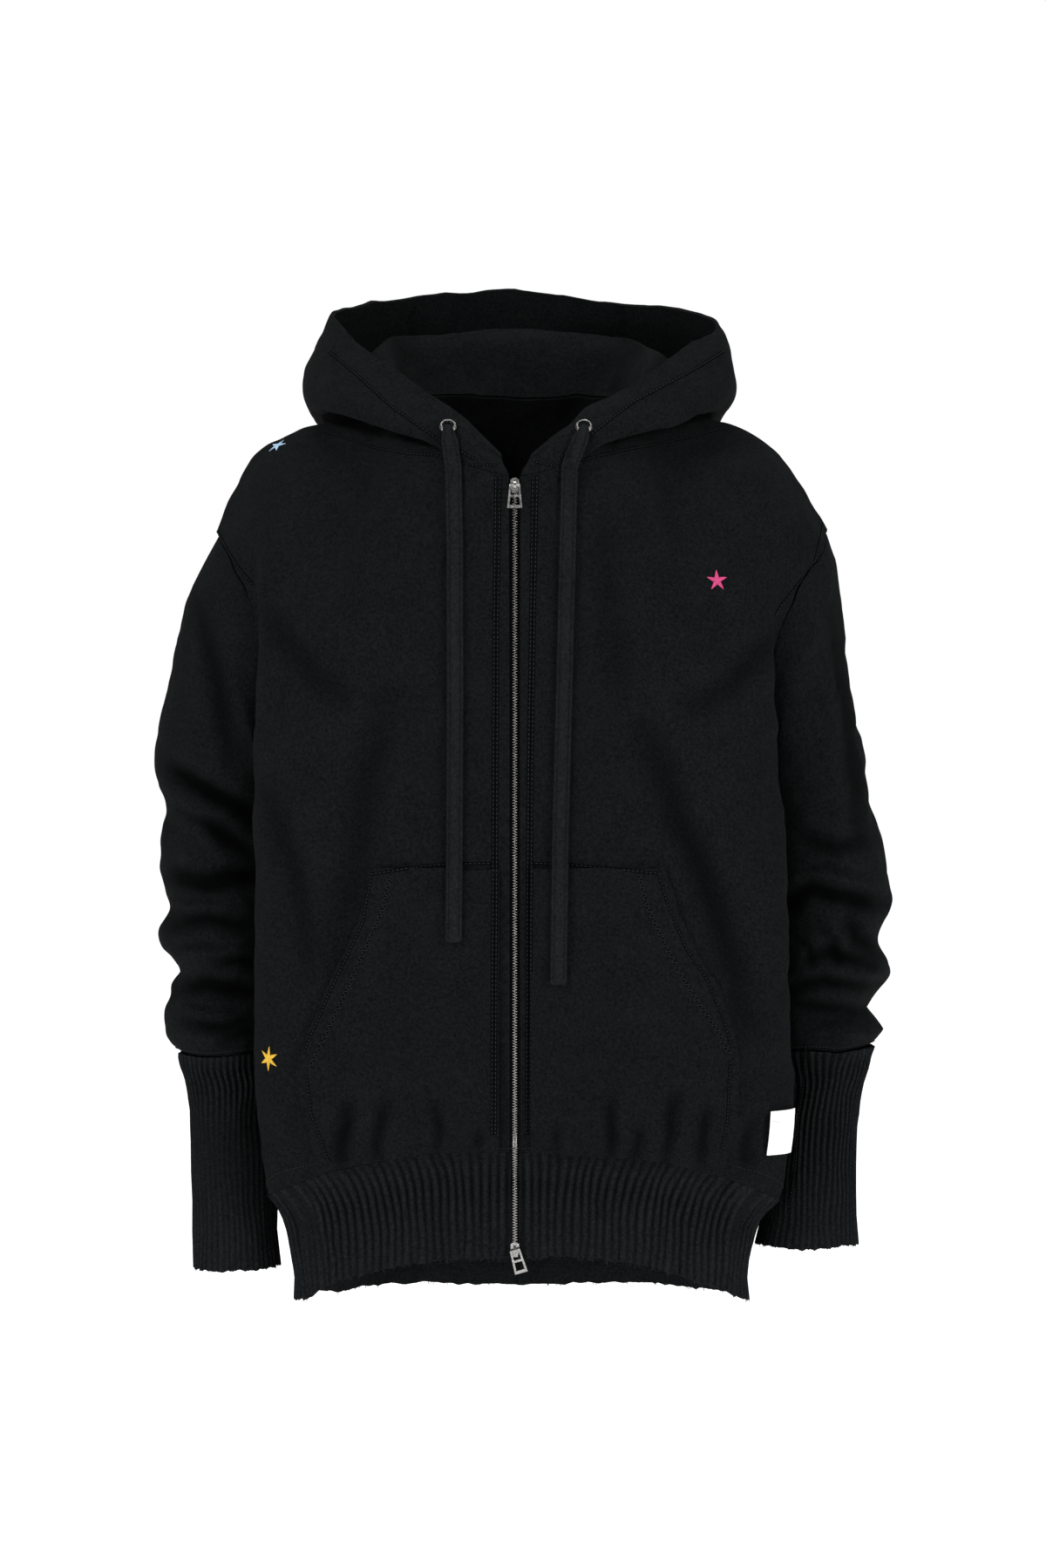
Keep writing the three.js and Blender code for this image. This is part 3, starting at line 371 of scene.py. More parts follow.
# Cloth: each worn panel is a copy of its solid, rounded and given its folds
clothPieces = {
    "front_right": {"piece": "rightFront", "kind": "body", "flat": (0.33, 0.68), "area": 0.184},
    "front_left": {"piece": "leftFront", "kind": "body", "flat": (0.34, 0.68), "area": 0.191},
    "back": {"piece": "backPanel", "kind": "body", "flat": (0.62, 0.68), "area": 0.347},
    "sleeve_right": {"piece": "rightSleeve", "kind": "sleeve", "flat": (0.38, 0.5), "area": 0.14},
    "sleeve_left": {"piece": "leftSleeve", "kind": "sleeve", "flat": (0.38, 0.5), "area": 0.136},
    "hood_right": {"piece": "rightHood", "kind": "hood", "flat": (0.36, 0.38), "area": 0.112},
    "hood_left": {"piece": "leftHood", "kind": "hood", "flat": (0.38, 0.4), "area": 0.124},
    "pocket_right": {"piece": "rightPocket", "kind": "body", "flat": (0.18, 0.25), "area": 0.0337},
    "pocket_left": {"piece": "leftPocket", "kind": "body", "flat": (0.19, 0.25), "area": 0.037},
    "hem_rib": {"piece": "hemBand", "kind": "rib", "flat": (1.04, 0.0875), "area": 0.0906},
    "cuff_right": {"piece": "rightCuff", "kind": "cuff", "flat": (0.25, 0.176), "area": 0.0434},
    "cuff_left": {"piece": "leftCuff", "kind": "cuff", "flat": (0.25, 0.176), "area": 0.0434},
}
# What each kind of piece is made of, how finely it is rounded, and whose folds it follows
kinds = {
    "body": {"material": "fleece", "levels": 3, "folds": "body"},
    "sleeve": {"material": "fleece", "levels": 3, "folds": "sleeve"},
    "hood": {"material": "fleece", "levels": 3, "folds": None},
    "rib": {"material": "rib", "levels": 2, "folds": "body"},
    "cuff": {"material": "rib", "levels": 2, "folds": "sleeve"},
}
roundness = {"weld": 0.00002, "flatQuad": 50, "squareQuad": 60, "rim": 52, "smooth": 60}

# Folds, a row for each: depth and half width in millimetres, then a line of photograph pixels
bodyFolds = [
    (3.4, 17, [(738, 840), (782, 940), (830, 1060), (862, 1180)]),
    (2.2, 18, [(446, 800), (414, 940), (382, 1100)]),
    (2.6, 15, [(300, 700), (352, 770), (392, 800)]),
    (2.6, 15, [(896, 730), (840, 790), (790, 812)]),
    (1.6, 16, [(690, 600), (700, 700), (716, 800)]),
    (2.4, 14, [(300, 900), (340, 1010), (352, 1120)]),
    (4.1, 8, [(388, 1338), (392, 1300), (400, 1268)]),
    (3.4, 7, [(430, 1332), (432, 1290), (440, 1262)]),
    (3.1, 7, [(501, 1322), (500, 1290), (496, 1262)]),
    (2.4, 6, [(545, 1320), (548, 1296)]),
    (2.4, 6, [(640, 1322), (640, 1292)]),
    (3.7, 7, [(700, 1330), (702, 1290), (706, 1262)]),
    (3.1, 7, [(729, 1332), (732, 1294)]),
    (3.7, 8, [(764, 1334), (768, 1290), (776, 1256)]),
    (3.4, 7, [(806, 1342), (808, 1300), (812, 1270)]),
    (3.1, 8, [(860, 1344), (864, 1296)]),
]
sleeveFolds = [
    (6.5, 11, [(181, 875), (238, 906), (295, 941)]),
    (5.0, 9, [(238, 943), (269, 967), (295, 981)]),
    (6.8, 12, [(185, 1007), (240, 1012), (300, 1005)]),
    (4.7, 9, [(190, 1062), (240, 1052), (296, 1066)]),
    (4.3, 8, [(247, 1104), (295, 1104)]),
    (5.9, 10, [(198, 1135), (238, 1128), (295, 1141)]),
    (4.7, 8, [(212, 1172), (260, 1177), (295, 1168)]),
    (3.7, 7, [(256, 1192), (295, 1183)]),
    (2.4, 5, [(200, 930), (236, 948), (262, 972)]),
    (2.2, 5, [(190, 1034), (232, 1032), (268, 1036)]),
    (2.4, 5, [(200, 1090), (232, 1082), (262, 1086)]),
    (2.2, 5, [(214, 1152), (250, 1156), (286, 1160)]),
    (2.2, 5, [(918, 1000), (950, 994), (990, 1006)]),
    (2.8, 6, [(940, 1062), (958, 1078), (962, 1098)]),
    (2.2, 5, [(912, 1076), (926, 1086), (930, 1104)]),
    (2.0, 5, [(930, 1172), (962, 1168), (996, 1180)]),
    (3.7, 12, [(232, 690), (250, 780), (268, 868)]),
    (4.7, 12, [(958, 700), (972, 790), (984, 880), (988, 950)]),
    (6.5, 10, [(900, 1036), (931, 1021), (959, 1027), (1027, 1040)]),
    (4.0, 10, [(916, 960), (960, 974), (1006, 966)]),
    (5.0, 9, [(977, 1054), (986, 1077), (1013, 1090)]),
    (5.0, 9, [(927, 1100), (954, 1092), (1010, 1108)]),
    (5.0, 8, [(909, 1131), (945, 1122), (1017, 1136)]),
    (4.0, 7, [(904, 1150), (950, 1153), (999, 1166)]),
]
folds = {"body": bodyFolds, "sleeve": sleeveFolds}
foldDepthOf = {"body": -0.13, "sleeve": -0.04}
foldShape = {"endShare": 0.08, "middleShare": 0.84, "ridge": 0.7, "frontTo": 0.05, "hiddenShare": 0.8,
             "hiddenDrop": 0.012}

# Slow waves that keep every panel from lying too evenly, in turns a metre and millimetres; also the painted
# shade of the folds, its level on flat cloth and the trough depth that makes it full
cloth = {"waves": [(7, 1.5), (13, 1.1), (24, 0.7), (43, 0.35)], "waveShare": 0.6, "calmFrom": 0.014,
         "calmFade": 0.03, "flatness": 0.35, "axisLevels": 24, "axisReach": 0.03, "seamReach": 0.0006,
         "seamOverlap": 0.00001, "flatShade": 0.16, "troughDepth": 0.006, "bodyRadius": 0.18}
# Rib relief and frayed edge; "tone" and the span after it set the painted shade in the channels
ribs = {"levelSlope": 0.45, "leastStep": 0.0027, "height": 0.0011, "gain": 0.75, "frayHeight": 0.006,
        "frayDrop": 0.0009, "frayTurns": 61, "frayBend": 3, "bendTurns": 17, "frayShare": 0.5,
        "curl": 0.0014, "slots": 72, "tone": 0.42, "shadeSpan": 0.62}


def copyOf(nodeName, pieceName):
    piece = frame["nodes"][nodeName].copy()
    piece.data = piece.data.copy()
    piece.name = pieceName
    piece.data.name = pieceName
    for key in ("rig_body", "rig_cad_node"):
        if key in piece:
            del piece[key]
    piece.parent = None
    bpy.context.scene.collection.objects.link(piece)
    return piece


def markRibs(piece):
    # Each point's height over its level neighbours: up on a rib, down in a channel
    mesh = piece.data
    points = pointsOf(mesh)
    edges = valuesOf(mesh.edges, "vertices", 2, np.int32)
    steps = points[edges[:, 0]] - points[edges[:, 1]]
    level = np.abs(steps[:, 2]) < ribs["levelSlope"] * np.hypot(steps[:, 0], steps[:, 1])
    edges = edges[level & (np.linalg.norm(steps, axis=1) > ribs["leastStep"])]
    total = np.zeros_like(points)
    count = np.zeros(len(points))
    for one, other in ((0, 1), (1, 0)):
        np.add.at(total, edges[:, one], points[edges[:, other]])
        np.add.at(count, edges[:, one], 1)
    over = ((points - total / np.maximum(count, 1)[:, None]) * normalsOf(mesh)).sum(axis=1)
    over = np.where(count >= 2, over, 0)
    layer = mesh.attributes.new("ribHeight", "FLOAT", "POINT")
    layer.data.foreach_set("value", over.astype(np.float32))


def roundedCopy(nodeName, sizes):
    # The solid's copy, merged, back in quads, its rims kept and its faces rounded
    piece = copyOf(nodeName, sizes["piece"])
    selectOnly(piece)
    editAll()
    bpy.ops.mesh.remove_doubles(threshold=roundness["weld"])
    bpy.ops.mesh.select_all(action="SELECT")
    bpy.ops.mesh.tris_convert_to_quads(face_threshold=math.radians(roundness["flatQuad"]),
                                       shape_threshold=math.radians(roundness["squareQuad"]))
    bpy.ops.mesh.select_all(action="DESELECT")
    bpy.ops.mesh.select_mode(type="EDGE")
    bpy.ops.mesh.edges_select_sharp(sharpness=math.radians(roundness["rim"]))
    bpy.ops.transform.edge_crease(value=1.0)
    bpy.ops.object.mode_set(mode="OBJECT")
    if sizes["kind"] in ("rib", "cuff"):
        markRibs(piece)
    modifier = piece.modifiers.new("rounding", "SUBSURF")
    modifier.levels = kinds[sizes["kind"]]["levels"]
    bpy.ops.object.modifier_apply(modifier=modifier.name)
    if piece.data.has_custom_normals:
        bpy.ops.mesh.customdata_custom_splitnormals_clear()
    bpy.ops.object.shade_smooth_by_angle(angle=math.radians(roundness["smooth"]))
    return piece


def foldProfile(x, z, fold, planeDepth):
    # How far one fold moves points in, deepest on its line, with a soft ridge on each side
    depth, halfWidth, pixels = fold
    line = np.array([atDepth(px, py, planeDepth) for px, py in pixels])
    lengths = np.hypot(*np.diff(line, axis=0).T)
    whole = lengths.sum()
    nearest = np.full(len(x), np.inf)
    along = np.zeros(len(x))
    done = 0.0
    for start, step, length in zip(line[:-1], np.diff(line, axis=0), lengths):
        part = ((x - start[0]) * step[0] + (z - start[1]) * step[1]) / length ** 2
        part = np.clip(part, 0, 1)
        gap = np.hypot(x - start[0] - part * step[0], z - start[1] - part * step[1])
        closer = gap < nearest
        nearest = np.where(closer, gap, nearest)
        along = np.where(closer, (done + part * length) / whole, along)
        done += length
    share = nearest / (halfWidth * mm)
    turn = np.pi * (foldShape["endShare"] + foldShape["middleShare"] * along)
    fade = np.sqrt(np.clip(np.sin(turn), 0, 1))
    return -depth * mm * fade * (1 - foldShape["ridge"] * share ** 2) * np.exp(-share ** 2)


def foldedBy(points, kind):
    # Moves in for the photograph's folds, and for like ones on the sides that it hides
    x, y, z = points.T
    front = np.clip(0.5 - y / foldShape["frontTo"], 0, 1)
    behind = (1 - front) * foldShape["hiddenShare"]
    moved = np.zeros(len(x))
    for fold in folds[kind]:
        moved += front * foldProfile(x, z, fold, foldDepthOf[kind])
        moved += behind * foldProfile(-x, z + foldShape["hiddenDrop"], fold, foldDepthOf[kind])
    return moved


def slowWaves(points):
    # Sines of several sizes, out of step with one another, and none beside the zip
    x, y, z = points.T
    moved = np.zeros_like(points)
    for number, (turns, size) in enumerate(cloth["waves"]):
        k = 2 * np.pi * turns
        high = size * mm * cloth["waveShare"]
        bend = 1.4 * np.sin(0.6 * k * z + 2.1 * number) + 1.1 * np.sin(0.5 * k * (x - y) + 0.7)
        for axis in range(3):
            phase = 1.9 * axis + 2.7 * number
            moved[:, axis] += high * np.sin(k * (0.8 * x + 0.6 * y) + bend + phase)
            moved[:, axis] += high * np.sin(k * (0.7 * z - 0.5 * y) - bend + 2 * phase)
    calm = np.clip((np.abs(x) - cloth["calmFrom"]) / cloth["calmFade"], 0, 1)
    calm = np.where(y > 0, 1.0, calm)
    return moved * calm[:, None]


def outwardFrom(points, kind):
    # Level directions away from the middle of the body or of the sleeve at each height
    x, y, z = points.T
    away = np.zeros_like(points)
    if kind == "body":
        away[:, 0] = x * cloth["flatness"]
        away[:, 1] = y
    else:
        count = cloth["axisLevels"]
        heights = np.linspace(z.min(), z.max(), count)
        nearest = np.clip(np.searchsorted(heights, z), 1, count - 1)
        middle = np.zeros((count, 2))
        for index, height in enumerate(heights):
            middle[index] = middleOf(points[np.abs(z - height) < cloth["axisReach"], :2])
        away[:, :2] = points[:, :2] - middle[nearest]
    return away / np.maximum(np.linalg.norm(away, axis=1), 0.001)[:, None]


def deepenRibs(piece, points):
    # Raises the ribs, deepens the channels, and frays the raw lower edge rib by rib; returns painted shade,
    # full in the channels and none on the crests
    over = valuesOf(piece.data.attributes["ribHeight"].data, "value", 1, np.float32)[:, 0]
    over = np.clip(over / ribs["height"], -1, 1)
    points = points + normalsOf(piece.data) * (over * ribs["gain"] * mm)[:, None]
    outward = outwardFrom(points, "body" if piece.name == "hemBand" else "sleeve")
    angle = np.arctan2(outward[:, 0], -outward[:, 1])
    count = ribs["slots"]
    slot = slotOf(angle, count)
    lowest = np.array([points[slot == s, 2].min() if (slot == s).any() else 0 for s in range(count)])
    near = np.clip(1 - (points[:, 2] - lowest[slot]) / ribs["frayHeight"], 0, 1) ** 2
    bend = ribs["frayBend"] * np.sin(angle * ribs["bendTurns"])
    jag = np.sin(angle * ribs["frayTurns"] + bend) * ribs["frayShare"] + over
    points[:, 2] -= near * ribs["frayDrop"] * jag
    points += outward * (near * ribs["curl"])[:, None]
    return points, ribs["tone"] - ribs["shadeSpan"] * over


def markPaintedShade(piece, paintedShade):
    # Painted shade: a point attribute by which the colour is darkened, most in fold troughs and rib channels
    # where shade falls, a little on flat fleece, least on ridges and crests
    layer = piece.data.attributes.new("paintedShade", "FLOAT", "POINT")
    layer.data.foreach_set("value", np.clip(paintedShade, 0, 1).astype(np.float32))


def wrapMap(piece):
    # A UV map in metres, round the piece and up it, that the knit follows
    mesh = piece.data
    points = pointsOf(mesh)
    middle = middleOf(points)
    reach = (points.max(axis=0) - points.min(axis=0)) / 2
    radius = (reach[0] + reach[1]) / 2
    if piece.name in ("rightFront", "leftFront", "backPanel", "rightPocket", "leftPocket", "hemBand"):
        middle = np.zeros(3)
        radius = cloth["bodyRadius"]
    around = np.arctan2(points[:, 0] - middle[0], middle[1] - points[:, 1]) * radius
    loops = valuesOf(mesh.loops, "vertex_index", 1, np.int32)[:, 0]
    layer = mesh.uv_layers.new(name="wrap")
    layer.data.foreach_set("uv", np.stack([around[loops], points[loops, 2]], axis=1).ravel())
    mesh.uv_layers.active = layer
    layer.active_render = True


armhole = {"reach": 0.005, "lowest": -0.29, "pull": 0.97, "top": -0.112, "swellLength": 0.1,
           "swellFrom": 0.205, "swellFade": 0.02, "swell": 0.0034}


def joinToBody(points):
    # Draws a sleeve's top edge up to the body panels' edges, so that the seam is closed
    below = (armhole["top"] - points[:, 2]) / armhole["swellLength"]
    outer = np.clip((np.abs(points[:, 0]) - armhole["swellFrom"]) / armhole["swellFade"], 0, 1)
    swell = armhole["swell"] * outer * np.sin(math.pi * np.clip(below, 0, 1)) ** 0.7
    points[:, 0] += np.sign(points[:, 0]) * swell
    body = treeOf([clothObjects[n] for n in ("front_right", "front_left", "back")])
    for index in np.where(points[:, 2] > armhole["lowest"])[0]:
        place, normal, face, distance = body.find_nearest(Vector(points[index]), armhole["reach"])
        if place is not None:
            share = armhole["pull"] * (1 - distance / armhole["reach"]) ** 0.5
            points[index] += (np.array(place) - points[index]) * share
    return points


clothObjects = {}
for nodeName, sizes in clothPieces.items():
    kind = kinds[sizes["kind"]]
    piece = roundedCopy(nodeName, sizes)
    points = pointsOf(piece.data)
    moved = slowWaves(points)
    folded = np.zeros(len(points))
    if kind["folds"]:
        folded = foldedBy(points, kind["folds"])
        moved += outwardFrom(points, kind["folds"]) * folded[:, None]
    middle = np.abs(points[:, 0]) < cloth["seamReach"]
    points = points + moved
    # Painted shade: a little on flat cloth, more down each fold's trough, less on its ridges
    paintedShade = cloth["flatShade"] - folded / cloth["troughDepth"]
    if sizes["kind"] == "hood":
        side = 1 if nodeName == "hood_right" else -1
        points[:, 0] = np.where(middle, side * cloth["seamOverlap"], points[:, 0])
    if sizes["kind"] == "sleeve":
        points = joinToBody(points)
    if kind["material"] == "rib":
        points, paintedShade = deepenRibs(piece, points)
    setPoints(piece.data, points)
    markPaintedShade(piece, paintedShade)
    wrapMap(piece)
    wear(piece, kind["material"])
    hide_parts(nodeName)
    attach(piece, "garment")
    clothObjects[nodeName] = piece
print("cloth made:", len(clothObjects), "pieces")

# Metal and tape keep the solids' own shape
keptSolids = {
    "nickel": ("slider_top", "slider_bottom", "pull_top", "pull_bottom", "eyelet_right", "eyelet_left"),
    "tape": ("zip_tape_right", "zip_tape_left"),
    "label": ("side_label",),
}
for material, nodeNames in keptSolids.items():
    for nodeName in nodeNames:
        wear(frame["nodes"][nodeName], material)

# Small repeated pieces are modelled once and set down many times in one mesh
dressed = treeOf(clothObjects.values())
labelTree = treeOf([frame["nodes"]["side_label"]])


def setDown(name, base, places, material):
    shape = pointsOf(base.data)
    sides = [list(face.vertices) for face in base.data.polygons]
    whole = ([], [])
    for place in places:
        turned = shape @ np.array(place.to_3x3()).T + np.array(place.translation)
        join(whole, turned.tolist(), sides)
    piece = pieceFrom(name, *whole, material)
    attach(piece, "garment")
    return piece


def dropBase(base):
    mesh = base.data
    bpy.data.objects.remove(base)
    bpy.data.meshes.remove(mesh)


def makeBead():
    # One stitch: a short plump length of thread, a unit long along X
    selectNone()
    bpy.ops.mesh.primitive_uv_sphere_add(segments=5, ring_count=4, radius=0.5)
    bead = bpy.context.object
    editAll()
    bpy.ops.transform.rotate(value=math.pi / 2, orient_axis="Y", center_override=(0, 0, 0))
    bpy.ops.object.mode_set(mode="OBJECT")
    return bead


def beadPlace(first, last, normal, width, height, lift, fill=1.0):
    along = last - first
    length = along.length
    xAxis = along.normalized()
    yAxis = normal.cross(xAxis).normalized()
    zAxis = xAxis.cross(yAxis)
    turn = Matrix((xAxis * length * fill, yAxis * width, zAxis * height)).transposed().to_4x4()
    turn.translation = (first + last) / 2 + zAxis * lift
    return turn


def evenly(points, spacing):
    # The same line with points an even spacing apart
    steps = [(b - a).length for a, b in zip(points[:-1], points[1:])]
    whole = sum(steps)
    count = max(2, int(round(whole / spacing)))
    result = []
    index = 0
    done = 0.0
    for number in range(count + 1):
        goal = whole * number / count
        while index < len(steps) - 1 and done + steps[index] < goal:
            done += steps[index]
            index += 1
        part = (goal - done) / max(steps[index], 1e-9)
        result.append(points[index].lerp(points[index + 1], min(max(part, 0), 1)))
    return result


def between(line, count):
    # Points along a line of pairs, so many to a span, without its last end
    points = []
    for (x0, y0), (x1, y1) in zip(line[:-1], line[1:]):
        for step in range(count):
            part = step / count
            points.append((x0 + (x1 - x0) * part, y0 + (y1 - y0) * part))
    return points


def seatedThroughPixels(pixels, tree):
    # Points of the cloth that the photograph shows along a line of its pixels, with their normals
    seats = []
    for pixel in between(pixels, seating["casts"]):
        seats += seatAt(tree, viewpoint["eye"], sightLine(*pixel))
    return seats


def spacedSeats(seats, spacing):
    # The same line evenly spaced, each point with the normal of the seat nearest to it
    spaced = []
    nearest = 0
    for point in evenly([place for place, normal in seats], spacing):
        window = range(max(0, nearest - seating["back"]), min(len(seats), nearest + seating["ahead"]))
        nearest = min(window, key=lambda i: (seats[i][0] - point).length)
        spaced.append((point, seats[nearest][1]))
    return spaced


def stitchPlaces(seats, stitch):
    # Running stitches along seated points, or a zigzag of slanted ones where it has a width
    spaced = spacedSeats(seats, stitch["pitch"])
    places = []
    for number, (first, normal) in enumerate(spaced[:-1]):
        last = spaced[number + 1][0]
        side = 1 if number % 2 else -1
        across = normal.cross(last - first).normalized() * stitch["zigzag"] / 2 * side
        places.append(beadPlace(first + across, last - across, normal, stitch["width"], stitch["width"],
                                stitch["lift"], stitch["fill"]))
    return places


# Rays cast to a span, how far a nearest seat is looked for, and how few seats carry no stitches
seating = {"casts": 14, "back": 3, "ahead": 14, "fewest": 3}
# Stitch kinds; "seam" is the width of the dark strip of painted shade under a line
stitches = {
    "plain": {"pitch": 0.0036, "width": 0.0010, "lift": 0.0004, "zigzag": 0, "fill": 0.74, "seam": 0.0027},
    "cover": {"pitch": 0.0026, "width": 0.0008, "lift": 0.0004, "zigzag": 0.0044, "fill": 1, "seam": 0.0016},
    "label": {"pitch": 0.0022, "width": 0.0006, "lift": 0.0002, "zigzag": 0, "fill": 0.75},
    "edge": {"pitch": 0.0030, "width": 0.0009, "lift": 0.0004, "zigzag": 0, "fill": 0.76, "seam": 0.0023},
}
seamSizes = {"thick": 0.0007, "spacing": 0.003, "topShare": 0.7}


def seamShadeStrip(seats, width):
    # A flat dark strip, closed all round, that sits in the cloth under a row of stitches: painted shade for
    # the seam's groove
    spaced = spacedSeats(seats, seamSizes["spacing"])
    vertices = []
    for index, (point, normal) in enumerate(spaced):
        ahead = spaced[min(index + 1, len(spaced) - 1)][0] - spaced[max(index - 1, 0)][0]
        across = normal.cross(ahead).normalized() * width / 2
        up = normal * seamSizes["thick"] / 2
        inner = across * seamSizes["topShare"]
        vertices += [point - across, point - inner + up, point + inner + up, point + across, point - up]
    return vertices, tubeFaces(len(spaced), 5)


seamShadeMesh = ([], [])


def sewLines(name, kind, lines, tree, thread):
    # One piece of stitches along lines of pixels, with a dark strip of painted shade under each line that has
    # one
    places = []
    for pixels in lines:
        seats = seatedThroughPixels(pixels, tree)
        if len(seats) > seating["fewest"]:
            places += stitchPlaces(seats, stitches[kind])
            if "seam" in stitches[kind]:
                join(seamShadeMesh, *seamShadeStrip(seats, stitches[kind]["seam"]))
    if places:
        setDown(name, bead, places, thread)
        print(name, len(places), "stitches")


# Stitch lines of the front, each through pixels of the photograph
stitchLines = {
    "placketStitches": ("plain", [
        [(574, 546), (571, 700), (570, 900), (569, 1100), (568, 1318)],
        [(611, 546), (609, 700), (606, 900), (605, 1100), (604, 1318)],
        [(569, 546), (567, 700), (566, 900), (565, 1100), (564, 1318)],
        [(616, 546), (613, 700), (610, 900), (609, 1100), (608, 1318)],
    ]),
    "hoodBandStitches": ("plain", [
        [(378, 404), (410, 431), (449, 467), (500, 503), (548, 529)],
        [(829, 404), (802, 421), (764, 442), (726, 462), (676, 500), (640, 527)],
    ]),
    "neckStitches": ("edge", [
        [(500, 523), (520, 528), (536, 534), (572, 534)],
        [(614, 530), (640, 536), (662, 530), (684, 524)],
        [(366, 494), (400, 504), (430, 514), (468, 521), (500, 523)],
        [(684, 524), (720, 516), (760, 509), (800, 500), (832, 491)],
    ]),
    "armholeStitches": ("plain", [
        [(244, 600), (254, 616), (263, 634), (275, 652), (292, 672)],
        [(944, 600), (939, 624), (933, 648), (915, 670), (897, 692), (888, 706)],
    ]),
    "pocketTopStitches": ("plain", [
        [(424, 1003), (473, 995), (512, 991), (572, 990)],
        [(608, 990), (656, 992), (729, 999), (756, 1002)],
    ]),
    "pocketCoverStitches": ("cover", [
        [(447, 1003), (440, 1041), (420, 1086), (396, 1139), (371, 1192), (353, 1230)],
        [(733, 1002), (743, 1041), (764, 1086), (791, 1135), (822, 1180), (838, 1212)],
    ]),
    "pocketEdgeStitches": ("edge", [
        [(426, 1004), (416, 1058), (404, 1084), (375, 1145), (346, 1212)],
        [(756, 1004), (767, 1040), (787, 1088), (812, 1125), (831, 1172), (840, 1204)],
        [(351, 1234), (356, 1277), (378, 1338)],
        [(838, 1218), (835, 1285), (828, 1322)],
    ]),
    "cuffSeamStitches": ("edge", [
        [(925, 1196), (922, 1247), (916, 1289), (914, 1332), (910, 1364), (905, 1394)],
    ]),
}

labelLines = [[(863, 1280), (899, 1290)], [(861, 1321), (892, 1331)]]
bead = makeBead()
sewLines("labelStitches", "label", labelLines, labelTree, "greyThread")
for name, (kind, lines) in stitchLines.items():
    sewLines(name, kind, lines, dressed, "blackThread")


rim = {"close": 0.996, "away": 0.4}


def rimSeats(nodeName, tree, rise, sides):
    # Points on the cloth just above a rib's top edge, all the way round
    points = pointsOf(clothObjects[nodeName].data)
    middle = middleOf(points)
    level = points[:, :2] - middle[:2]
    level = level / np.maximum(np.linalg.norm(level, axis=1), 1e-6)[:, None]
    seats = []
    for side in range(sides + 1):
        angle = 2 * math.pi * side / sides
        direction = np.array([math.sin(angle), -math.cos(angle)])
        close = level @ direction > rim["close"]
        if close.any():
            start = Vector((*(middle[:2] + direction * rim["away"]), points[close, 2].max() + rise))
            inward = Vector((-direction[0], -direction[1], 0))
            seats += seatAt(tree, start, inward, rim["away"])
    return seats


ribSeams = {
    "hem_rib": {"on": ("front_right", "front_left", "back"), "rise": 0.003, "sides": 220},
    "cuff_right": {"on": ("sleeve_right",), "rise": 0.004, "sides": 96},
    "cuff_left": {"on": ("sleeve_left",), "rise": 0.004, "sides": 96},
}
seamPlaces = []
for nodeName, seam in ribSeams.items():
    carrier = treeOf([clothObjects[n] for n in seam["on"]])
    seats = rimSeats(nodeName, carrier, seam["rise"], seam["sides"])
    seamPlaces += stitchPlaces(seats, stitches["edge"])
setDown("ribSeamStitches", bead, seamPlaces, "blackThread")

# Two rows beside the hood's middle seam, cast from behind at heights in millimetres
hoodSeam = {"rows": (-0.0028, 0.0028), "heights": range(118, -30, -4), "behind": 1.0}
backPlaces = []
for x in hoodSeam["rows"]:
    seats = []
    for z in hoodSeam["heights"]:
        seats += seatAt(dressed, Vector((x, hoodSeam["behind"], z * mm)), Vector((0, -1, 0)))
    if len(seats) > seating["fewest"]:
        backPlaces += stitchPlaces(seats, stitches["plain"])
setDown("hoodSeamStitches", bead, backPlaces, "blackThread")
# Painted shade: the dark strips under the seams, as one piece
shadedSeams = pieceFrom("shadedSeams", *seamShadeMesh, "seamShade")
turnFacesOut(shadedSeams)
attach(shadedSeams, "garment")

# Raw rib edges shed short loose threads
fray = {"seed": 7, "length": (0.0018, 0.0046), "width": 0.00034, "slots": 180, "roots": 6, "sunk": 0.0006,
        "lean": 0.42, "count": {"hem_rib": 420, "cuff_right": 130, "cuff_left": 130}}


def addFrays():
    chance = np.random.default_rng(fray["seed"])
    places = []
    for nodeName, count in fray["count"].items():
        points = pointsOf(clothObjects[nodeName].data)
        middle = middleOf(points)
        angle = np.arctan2(points[:, 0] - middle[0], middle[1] - points[:, 1])
        slot = slotOf(angle, fray["slots"])
        lowest = []
        for number in range(fray["slots"]):
            inside = np.where(slot == number)[0]
            order = inside[np.argsort(points[inside, 2])]
            lowest += list(order[:fray["roots"]])
        for index in chance.choice(lowest, size=count):
            root = Vector(points[index]) + Vector((0, 0, fray["sunk"]))
            lean = Vector((*chance.normal(0, fray["lean"], 2), -1)).normalized()
            length = chance.uniform(*fray["length"])
            normal = Vector((*chance.normal(0, 1, 2), 0.1)).normalized()
            places.append(beadPlace(root, root + lean * length, normal, fray["width"], fray["width"], 0.0))
    setDown("frayedThreads", bead, places, "blackThread")


addFrays()

# Satin-stitched stars: each petal is laid in threads across its length
stars = {
    "chestStar": {"pixel": (822, 666), "petals": 5, "radius": 0.0088, "petalWidth": 0.0046, "turn": 90,
                  "thread": "pinkThread"},
    "sideStar": {"pixel": (308, 1215), "petals": 6, "radius": 0.0100, "petalWidth": 0.0046, "turn": 84,
                 "thread": "yellowThread"},
    "shoulderStar": {"pixel": (319, 512), "petals": 5, "radius": 0.0085, "petalWidth": 0.0044, "turn": 90,
                     "thread": "blueThread"},
}
satin = {"pitch": 0.00042, "width": 0.00062, "height": 0.0006, "lift": 0.0003, "crown": 0.0004, "tip": 0.0002,
         "root": 0.35, "spread": 2.4, "taper": 1.6, "slant": 0.35}


